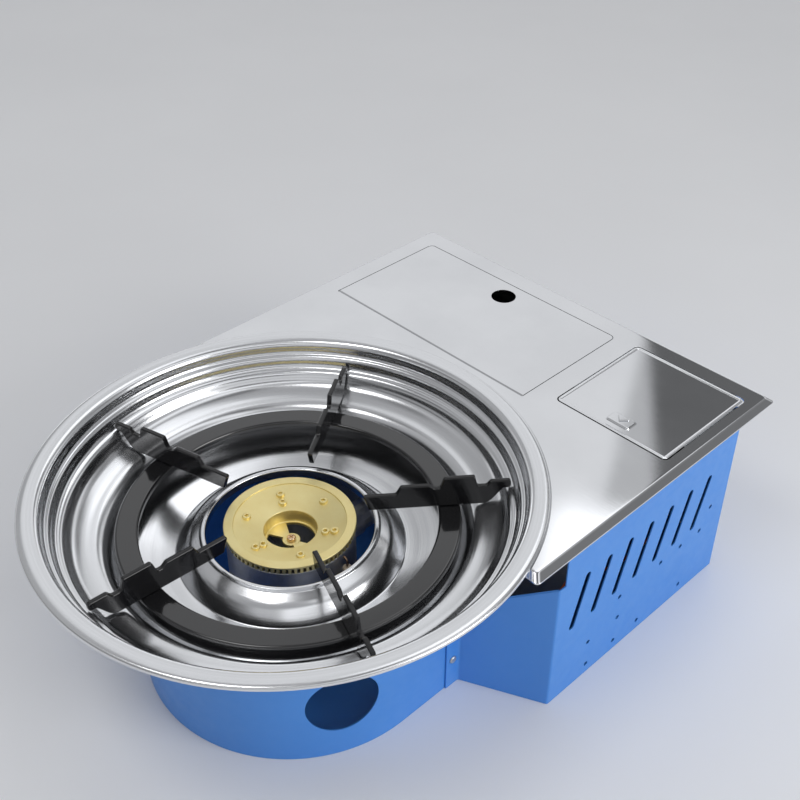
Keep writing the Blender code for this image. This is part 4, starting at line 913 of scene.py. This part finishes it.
def make_burner_body():
    """Cast cup with rounded corners, its socket for the mixing tube, and the bar that takes the screw."""
    outer = BODY_RADIUS
    tube_wall = BODY_BORE + AIR_TUBE_WALL
    wall = BODY_WALL
    corners = [
        (outer - 2 * wall, BODY_LOW, 0.0020),
        (outer, BODY_LOW + 3 * wall, 0.0040),
        (outer, BODY_TOP, 0.0006),
        (outer - wall, BODY_TOP, 0.0005),
        (outer - wall, BODY_LOW + 3 * wall, 0.0030),
        (outer - 2 * wall, BODY_LOW + wall, 0.0020),
        (tube_wall, BODY_LOW + wall, 0.0015),
        (tube_wall, AIR_TUBE_TOP, 0.0005),
        (BODY_BORE, AIR_TUBE_TOP, 0.0005),
        (BODY_BORE, BODY_LOW, 0.0005),
    ]
    body = make_object("body_skin", turned(filleted(corners, 4, closed=True), 120, (0, BOWL_Y, 0)))
    reach = BODY_BORE + AIR_TUBE_WALL / 2
    half = SPIDER_WIDTH / 2
    low = SPIDER_TOP - SPIDER_HEIGHT
    join(body, box((-reach, BOWL_Y - half, low), (reach, BOWL_Y + half, SPIDER_TOP)))
    cut(body, cylinder(SCREW_RADIUS + CLEAR, low - wall, SPIDER_TOP + wall, 24, (0, BOWL_Y, 0)))
    axis = (0, BOWL_Y, TUBE_Z)
    join(body, cylinder(TUBE_RADIUS + TUBE_WALL, -SOCKET_END, 0.9 * wall - outer, 48, axis, "Y"))
    cut(body, cylinder(TUBE_RADIUS - TUBE_WALL, -SOCKET_END - wall, 4 * wall - outer, 48, axis, "Y"))
    piece("body_skin", body, casting, "housing", ["burner_body"])


def make_insulator():
    """Glazed sleeve of the spark electrode, with its collar over the clip."""
    radius = INSULATOR_RADIUS
    collar = INSULATOR_COLLAR + CLEAR
    corners = [
        (0, INSULATOR_LOW, 0),
        (radius, INSULATOR_LOW, 0.0006),
        (radius, collar, 0),
        (INSULATOR_FLARE * radius, collar, 0.0006),
        (INSULATOR_FLARE * radius, collar + 0.0030, 0.0010),
        (radius, collar + 0.0040, 0.0006),
        (radius, INSULATOR_TOP, 0.0022),
        (0, INSULATOR_TOP, 0),
    ]
    solid = turned(filleted(corners, 5), 40, (*ELECTRODE_PLACE, 0))
    piece("insulator_skin", solid, ceramic, "housing", ["electrode_insulator"], smooth=40)


# Panel, lid and cover


def panel_outline(reach):
    """Panel's edge seen from above, moved outwards."""
    side = PANEL_X + reach
    return rounded_rectangle(-side, FRONT_Y - reach, side, PANEL_REAR + reach, PANEL_CORNER, 10)


def lid_outline(gap):
    """Lid's edge seen from above, grown by a gap."""
    corners = [
        (LID_X[0] - gap, LID_Y[0] - gap, LID_CORNER + gap),
        (LID_X[1] + gap, LID_Y[0] - gap, LID_CORNER + gap),
        (LID_X[1] + gap, LID_Y[1] + gap, SHEET),
        (LID_X[0] - gap, LID_Y[1] + gap, SHEET),
    ]
    return filleted(corners, 8, closed=True)


def cover_outline(gap):
    """Cover's edge seen from above, grown by a gap."""
    grown = (COVER_X[0] - gap, COVER_Y[0] - gap, COVER_X[1] + gap, COVER_Y[1] + gap)
    return rounded_rectangle(*grown, COVER_CORNER + gap)


def make_panel():
    """Sheet with a rounded fold, a sloping lip and a short upright edge."""
    low = PANEL_TOP - LIP_DROP
    corners = [
        (FOLD_START, PANEL_TOP, 0),
        (0, PANEL_TOP, FOLD_RADIUS),
        (LIP_REACH, low + LIP_EDGE, 0.0004),
        (LIP_REACH, low, 0),
    ]
    under = PANEL_TOP - SHEET
    levels = filleted(corners, 6)
    levels += [(LIP_REACH - SHEET, low), (-SHEET * tan(pi / 8), under), (FOLD_START, under)]
    rings = [[(p.x, p.y, height) for p in panel_outline(reach)] for reach, height in levels]
    panel = make_object("panel_skin", stacked(rings))
    span = (PANEL_TOP - OVERCUT, PANEL_TOP + OVERCUT)
    for outline in (lid_outline(LID_GAP), cover_outline(COVER_GAP)):
        cut(panel, prism(outline, *span))
    cut(panel, cylinder(BOWL_HOLE, *span, ROUND_STEPS, (0, BOWL_Y, 0)))
    piece("panel_skin", panel, steel_bright, "housing", ["top_panel"], smooth=30, edge=EDGE)


def hinge_ears(name, places, half, axis, radius, corner, pin, body):
    """Pair of upright ears with a bore for the hinge pin."""
    y, z = axis
    top = PANEL_TOP - SHEET / 2
    outline = arc(axis, radius, 180, 360, 16) + [Vector((y + corner, top)), Vector((y - radius, top))]
    pair = make_object(name, combined([prism(outline, x - half, x + half, "YZ") for x in places]))
    cut(pair, cylinder(pin + CLEAR, places[0] - 4 * half, places[1] + 4 * half, 32, (0, y, z), "X"))
    piece(name, pair, steel_bright, body, smooth=30, edge=FINE_EDGE)


def make_lid():
    """Plate with a finger hole, whose rear edge folds down behind the hinge, and its ears."""
    y = LID_Y[1] - LID_CURL
    z = PANEL_TOP - LID_CURL
    corners = [(LID_Y[0], PANEL_TOP, 0), (LID_Y[1], PANEL_TOP, LID_EDGE), (LID_Y[1], z - LID_PIN, 0)]
    lid = make_object("lid_skin", prism(sheet_outline(filleted(corners, 10), -SHEET), *LID_X, "YZ"))
    span = (PANEL_TOP - 2 * OVERCUT, PANEL_TOP + OVERCUT)
    boolean(lid, "INTERSECT", prism(lid_outline(0), *span))
    place = (sum(LID_X) / 2, LID_Y[0] + FINGER_HOLE_INSET, 0)
    cut(lid, cylinder(FINGER_HOLE_RADIUS, *span, 64, place))
    piece("lid_skin", lid, steel_bright, "lid", ["canister_lid"], smooth=30, edge=EDGE)
    places = (LID_X[0] + 6 * LID_PIN, LID_X[1] - 6 * LID_PIN)
    hinge_ears("lid_ears", places, 1.5 * LID_PIN, (y, z), LID_CURL - SHEET / 2, 0, LID_PIN, "lid")


def make_cover():
    """Flat plate level with the panel, a bead along its edge, and a raised pad with an arrow to push on."""
    corners = [
        (0, -SHEET, 0),
        (0, BEAD_FOOT, BEAD_FOOT),
        (BEAD_WIDTH / 2, BEAD_HEIGHT, 0.0015),
        (BEAD_WIDTH, 0, 0.0008),
        (COVER_CORNER - CLEAR, 0, 0),
    ]
    rings = []
    for inset, rise in filleted(corners, 6):
        rings.append([(p.x, p.y, PANEL_TOP + rise) for p in cover_outline(-inset)])
    piece("cover_skin", stacked(rings), steel_bright, "cover", ["push_cover"], smooth=60)
    places = (COVER_X[0] + 8 * COVER_PIN, COVER_X[1] - 8 * COVER_PIN)
    hinge_ears("cover_ears", places, 2 * COVER_PIN, COVER_AXIS, COVER_EAR, COVER_EAR, COVER_PIN, "cover")
    x0, y0, x1, y1 = MARK_PAD
    slope = [
        (0, -CLEAR, 0),
        (0, 0, 0),
        (MARK_SLOPE, MARK_HEIGHT, MARK_ROUND),
        (MARK_LAND, MARK_HEIGHT, 0),
    ]
    rings = []
    for inset, rise in filleted(slope, 5):
        outline = rounded_rectangle(x0 + inset, y0 + inset, x1 - inset, y1 - inset, MARK_CORNER - inset)
        rings.append([(p.x, p.y, PANEL_TOP + rise) for p in outline])
    piece("push_pad", stacked(rings), steel_bright, "cover", smooth=60)
    arrow = filleted([(x, y, MARK_ROUND) for x, y in MARK_ARROW], 4, closed=True)
    top = PANEL_TOP + MARK_HEIGHT
    mark = prism(arrow, top - CLEAR, top + 3 * CLEAR)
    piece("push_mark", mark, steel_bright, "cover", edge=2 * CLEAR)


# Housing


def make_drum():
    """Wall of half a drum with straight ends, its air holes and the rivets' bores."""
    path = [Vector((DRUM_RADIUS, DRUM_START))]
    path += arc((0, BOWL_Y), DRUM_RADIUS, 0, 180, 96)
    path += [Vector((-DRUM_RADIUS, DRUM_START))]
    drum = make_object("drum_skin", prism(sheet_outline(path, SHEET), 0, DRUM_TOP))
    for angle in AIR_HOLE_ANGLES:
        hole = cylinder(AIR_HOLE_RADIUS, DRUM_RADIUS - OVERCUT, DRUM_RADIUS + OVERCUT, 72, axis="X")
        turn = Matrix.Rotation(radians(angle), 4, "Z")
        hole.transform(Matrix.Translation((0, BOWL_Y, AIR_HOLE_HEIGHT)) @ turn)
        cut(drum, hole)
    cut(drum, *[rivet_bore(side) for side in (-1, 1)])
    piece("drum_skin", drum, paint, "housing", ["drum_wall"], smooth=30, edge=FINE_EDGE)


def rivet_bore(side):
    """Cutter for the hole that a rivet fills."""
    place = (side * STRIP_OUT, RIVET_Y, RIVET_Z)
    return cylinder(RIVET_RADIUS + CLEAR, -OVERCUT, OVERCUT, 24, place, "X")


def make_rivet(name, side):
    """Domed rivet through the strip and the drum wall."""
    inner = -(2 * SHEET + 2 * CLEAR)
    head = RIVET_HEAD_RADIUS
    corners = [
        (0, inner - RIVET_HEAD, 0),
        (head, inner - RIVET_HEAD, 0.0003),
        (head, inner, 0),
        (RIVET_RADIUS, inner, 0),
        (RIVET_RADIUS, CLEAR, 0),
        (head, CLEAR, 0.0001),
        (0.8 * head, RIVET_HEAD, 0.0020),
        (0, RIVET_HEAD, 0),
    ]
    profile = [(p.x, side * p.y) for p in filleted(corners, 5)]
    solid = turned(profile, 32, (side * STRIP_OUT, RIVET_Y, RIVET_Z), "X")
    piece(f"rivet_skin_{name}", solid, zinc, "housing", [f"strip_rivet_{name}"], smooth=40)


def slot_outline(foot):
    """Leaning slot with round ends, in the side panel's own plane."""
    along = Vector((-SLOT_LEAN, SLOT_RISE))
    length = along.length
    along.normalize()
    across = Vector((along.y, -along.x))
    half = SLOT_WIDTH / 2
    upright = arc((0, length - half), half, 0, 180, 10) + arc((0, half), half, 180, 360, 10)
    return [Vector((foot, SLOT_LOW)) + point.x * across + point.y * along for point in upright]


def make_side(name, side):
    """Folded side sheet with rounded folds, leaning slots and small holes."""
    corners = [
        (SIDE_X, SIDE_START_Y, 0),
        (SIDE_X, SIDE_END_Y, WALL_FOLD),
        (STRIP_OUT, SLANT_END_Y, WALL_FOLD),
        (STRIP_OUT, STRIP_END_Y, 0),
    ]
    outline = [Vector((side * p.x, p.y)) for p in sheet_outline(filleted(corners, 6), SHEET)]
    skin = f"side_skin_{name}"
    panel = make_object(skin, prism(outline, 0, FRAME_TOP))
    above = PANEL_TOP + OVERCUT
    beyond = STRIP_END_Y + OVERCUT
    notch = [
        (SIDE_END_Y - SIDE_NOTCH, above),
        (SIDE_END_Y - SIDE_NOTCH, SLANT_TOP),
        (SIDE_END_Y, SLANT_TOP),
        (SLANT_END_Y, STRIP_TOP),
        (beyond, STRIP_TOP),
        (beyond, above),
    ]
    span = sorted((side * (STRIP_OUT - OVERCUT), side * (SIDE_X + OVERCUT)))
    cut(panel, prism(notch, *span, "YZ"))
    deep = OVERCUT / 2
    through = sorted((side * (SIDE_X - deep), side * (SIDE_X + deep)))
    feet = [SIDE_END_Y - SLOT_SETBACK - SLOT_PITCH * count for count in range(SLOT_COUNT)]
    cut(panel, *[prism(slot_outline(foot), *through, "YZ") for foot in feet])
    holes = [(SIDE_END_Y - back, height) for height, row in PINHOLE_ROWS for back in row]
    cut(panel, *[cylinder(PINHOLE_RADIUS, -deep, deep, 24, (side * SIDE_X, y, z), "X") for y, z in holes])
    cut(panel, rivet_bore(side))
    piece(skin, panel, paint, "housing", [f"side_panel_{name}"], smooth=30, edge=FINE_EDGE)


def make_front():
    """Front wall with rounded folds at its slanted corners."""
    inside = SIDE_X - SHEET - CLEAR
    right = [
        (SIDE_X - HOUSING_CORNER, FRONT_WALL_Y, WALL_FOLD),
        (inside, SIDE_START_Y, WALL_FOLD),
        (inside, SIDE_START_Y + FLANGE, 0),
    ]
    left = [(-x, y, radius) for x, y, radius in reversed(right)]
    outline = sheet_outline(filleted(left + right, 6), SHEET)
    solid = prism(outline, 0, FRAME_TOP)
    piece("front_skin", solid, paint, "housing", ["front_panel"], smooth=30, edge=FINE_EDGE)


# Controls


def make_knob():
    """Knob with a fluted skirt and a rounded grip bar with a pointer groove."""
    x, y = KNOB_PLACE
    grip = KNOB_GRIP / 2
    corners = [
        (0, KNOB_LOW, 0),
        (KNOB_RADIUS, KNOB_LOW, 0.0004),
        (KNOB_RADIUS, KNOB_WAIST, 0.0014),
        (0, KNOB_WAIST, 0),
    ]
    knob = make_object("knob_skin", turned(filleted(corners, 4), 90, (x, y, 0)))
    flutes = []
    for count in range(KNOB_FLUTES):
        turn = 2 * pi * count / KNOB_FLUTES
        place = (x + KNOB_RADIUS * cos(turn), y + KNOB_RADIUS * sin(turn), 0)
        flutes.append(cylinder(KNOB_FLUTE_RADIUS, KNOB_LOW - OVERCUT, KNOB_WAIST + OVERCUT, 12, place))
    cut(knob, *flutes)
    reach = 0.94 * KNOB_RADIUS
    bar = rounded_rectangle(x - reach, y - grip, x + reach, y + grip, 0.7 * grip)
    join(knob, prism(bar, KNOB_WAIST - KNOB_SINK, KNOB_HIGH))
    ends = (x + 0.3 * reach, x + 0.9 * reach)
    groove = rounded_rectangle(ends[0], y - KNOB_GROOVE, ends[1], y + KNOB_GROOVE, 0.0005, 4)
    cut(knob, prism(groove, KNOB_HIGH - KNOB_GROOVE, KNOB_HIGH + OVERCUT))
    socket = (KNOB_LOW + KNOB_HIGH) / 2
    cut(knob, cylinder(SPINDLE_RADIUS + CLEAR, KNOB_LOW - OVERCUT, socket, 32, (x, y, 0)))
    piece("knob_skin", knob, plastic, "knob", ["control_knob"], edge=FINE_EDGE)


def make_connector():
    """Guide ring for the cartridge's collar, with a chamfered nose."""
    corners = [
        (CONNECTOR_BORE, 0, 0.0003),
        (CONNECTOR_RADIUS, 0, 0.0003),
        (CONNECTOR_RADIUS, 0.6 * CONNECTOR_LENGTH, 0.0008),
        (CONNECTOR_RADIUS - 0.4 * CONNECTOR_LENGTH, CONNECTOR_LENGTH, 0.0006),
        (CONNECTOR_BORE, CONNECTOR_LENGTH, 0.0006),
    ]
    ring = turned(filleted(corners, 4, closed=True), 64, CONNECTOR_PLACE, "X")
    piece("connector_skin", ring, plastic, "housing", ["cartridge_connector"])


# Studio


def make_camera():
    """Camera where the photograph was taken from."""
    lens = bpy.data.cameras.new("camera")
    lens.lens = CAMERA_LENS
    lens.sensor_width = CAMERA_SENSOR
    camera = bpy.data.objects.new("camera", lens)
    axes = Matrix((CAMERA_RIGHT, CAMERA_UP, CAMERA_BACK)).transposed()
    camera.matrix_world = Matrix.Translation(CAMERA_PLACE) @ axes.to_4x4()
    bpy.context.scene.collection.objects.link(camera)
    bpy.context.scene.camera = camera


def make_floor():
    """Plain pale floor just under the part."""
    finish = Finish("floor_paper", (0.86, 0.865, 0.88), 0.7)
    finish.tint(finish.noise(3, 3), (0.85, 0.855, 0.87), (0.87, 0.875, 0.89))
    half = FLOOR_HALF
    outline = [(-half, -half), (half, -half), (half, half), (-half, half)]
    floor = make_object("floor", prism(outline, *FLOOR_LEVELS))
    floor.data.materials.append(finish.material)


def make_light(name, place, size, power):
    """Rectangular lamp aimed at the part."""
    light = bpy.data.lights.new(name, "AREA")
    light.shape = "RECTANGLE"
    light.size, light.size_y = size
    light.energy = power
    made = bpy.data.objects.new(name, light)
    made.location = place
    made.rotation_euler = (Vector(LAMP_TARGET) - Vector(place)).to_track_quat("-Z", "Y").to_euler()
    bpy.context.scene.collection.objects.link(made)


class Studio(Graph):
    """A dim room whose soft boxes and dark flags are patches of the sky."""

    def __init__(self):
        self.world = bpy.data.worlds.new("studio")
        self.world.use_nodes = True
        super().__init__(self.world.node_tree)
        self.towards = self.add("ShaderNodeTexCoord").outputs["Generated"]
        self.level = 0.0

    def along(self, direction):
        """How far the view ray points along a direction."""
        node = self.add("ShaderNodeVectorMath", operation="DOT_PRODUCT")
        self.link(self.towards, node.inputs[0])
        node.inputs[1].default_value = direction
        return node.outputs["Value"]

    def shade(self, low, high, start, end):
        """Brightness that rises with height."""
        rise = self.spread(self.along((0, 0, 1)), low, high, start, end, "SMOOTHSTEP")
        self.level = self.maths("ADD", self.level, rise)

    def patch(self, azimuth, elevation, width, height, level, blur=0.08):
        """Adds a level over a patch of sky, by its middle's direction and its half sizes one metre away."""
        turn, rise = radians(azimuth), radians(elevation)
        middle = Vector((cos(turn) * cos(rise), sin(turn) * cos(rise), sin(rise)))
        level_way = Vector((-sin(turn), cos(turn), 0))
        up_way = middle.cross(level_way)
        ahead = self.along(middle)
        shares = [self.maths("GREATER_THAN", ahead, 0.02)]
        for way, half in ((level_way, width), (up_way, height)):
            off = self.maths("ABSOLUTE", self.maths("DIVIDE", self.along(way), ahead))
            shares.append(self.spread(off, 1, 0, half - blur, half + blur, "SMOOTHSTEP"))
        share = self.maths("MULTIPLY", self.maths("MULTIPLY", shares[1], shares[2]), shares[0])
        self.level = self.maths("ADD", self.level, self.maths("MULTIPLY", share, level))

    def finish(self):
        """Colours the background by the level, with a faint cool cast."""
        background = self.tree.nodes["Background"]
        joined = self.add("ShaderNodeCombineColor")
        for socket, cast in zip(joined.inputs, ROOM_CAST):
            self.feed(self.maths("MULTIPLY", self.level, cast), socket)
        self.link(joined.outputs[0], background.inputs["Color"])
        bpy.context.scene.world = self.world


def make_studio():
    """World made of the room, the soft boxes and the flags."""
    studio = Studio()
    studio.shade(*ROOM_LEVELS, *ROOM_RISE)
    for patch in SOFT_BOXES + FLAGS:
        studio.patch(*patch)
    studio.finish()


# Making

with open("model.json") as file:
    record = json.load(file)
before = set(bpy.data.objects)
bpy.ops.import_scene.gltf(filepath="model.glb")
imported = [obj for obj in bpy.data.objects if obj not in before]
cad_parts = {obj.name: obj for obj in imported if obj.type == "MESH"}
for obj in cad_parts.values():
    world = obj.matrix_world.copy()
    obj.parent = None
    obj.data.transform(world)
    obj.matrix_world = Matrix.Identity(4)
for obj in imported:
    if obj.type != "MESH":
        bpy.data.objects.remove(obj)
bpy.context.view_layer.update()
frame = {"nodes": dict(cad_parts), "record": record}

steel_bright = bright_panel_finish()
steel_spun = spun_finish()
enamel = enamel_finish("gloss_enamel", 0.5, 1.0)
# The arms take a copy of the ring's enamel with less gloss and a thinner coat, so their reflections come
# out darker: painted shade on the arms' reflections, not a different enamel
dimmed_arm_enamel = enamel_finish("arm_enamel_dimmed_reflection", 0.3, 0.4)
brass = brass_finish()
paint = paint_finish()
zinc = zinc_finish()
warm_zinc = warm_zinc_finish()
dark_plate = dark_plate_finish()
casting = casting_finish()
wire = wire_finish()
ceramic = ceramic_finish()
plastic = plastic_finish()
lead = lead_finish()

make_camera()
make_studio()
make_floor()
for lamp in LAMPS:
    make_light(*lamp)

make_bowl()
make_support()
make_cap()
make_cap_screw()
make_burner_body()
make_insulator()
make_panel()
make_lid()
make_cover()
make_drum()
make_front()
for side_name, sign in (("left", -1), ("right", 1)):
    make_side(side_name, sign)
    make_rivet(side_name, sign)
make_knob()
make_connector()

slots = {
    "blue_paint": (paint, FINE_EDGE),
    "polished_stainless": (steel_bright, 0.0),
    "spun_stainless": (steel_spun, 0.0),
    "zinc_plate": (zinc, HAIR_EDGE),
    "dark_plate": (dark_plate, HAIR_EDGE),
    "brass": (brass, HAIR_EDGE),
    "cast_aluminium": (casting, FINE_EDGE),
    "black_enamel": (enamel, 0.0),
    "copper_wire": (wire, 0.0),
    "ceramic": (ceramic, 0.0),
    "black_plastic": (plastic, MOULDED_EDGE),
    "orange_lead": (lead, 0.0),
}
for entry in frame["record"]["subparts"]:
    dress(entry["node"], *slots[entry["material_slot"]])

bpy.context.scene.view_settings.view_transform = "Standard"
bpy.context.view_layer.update()
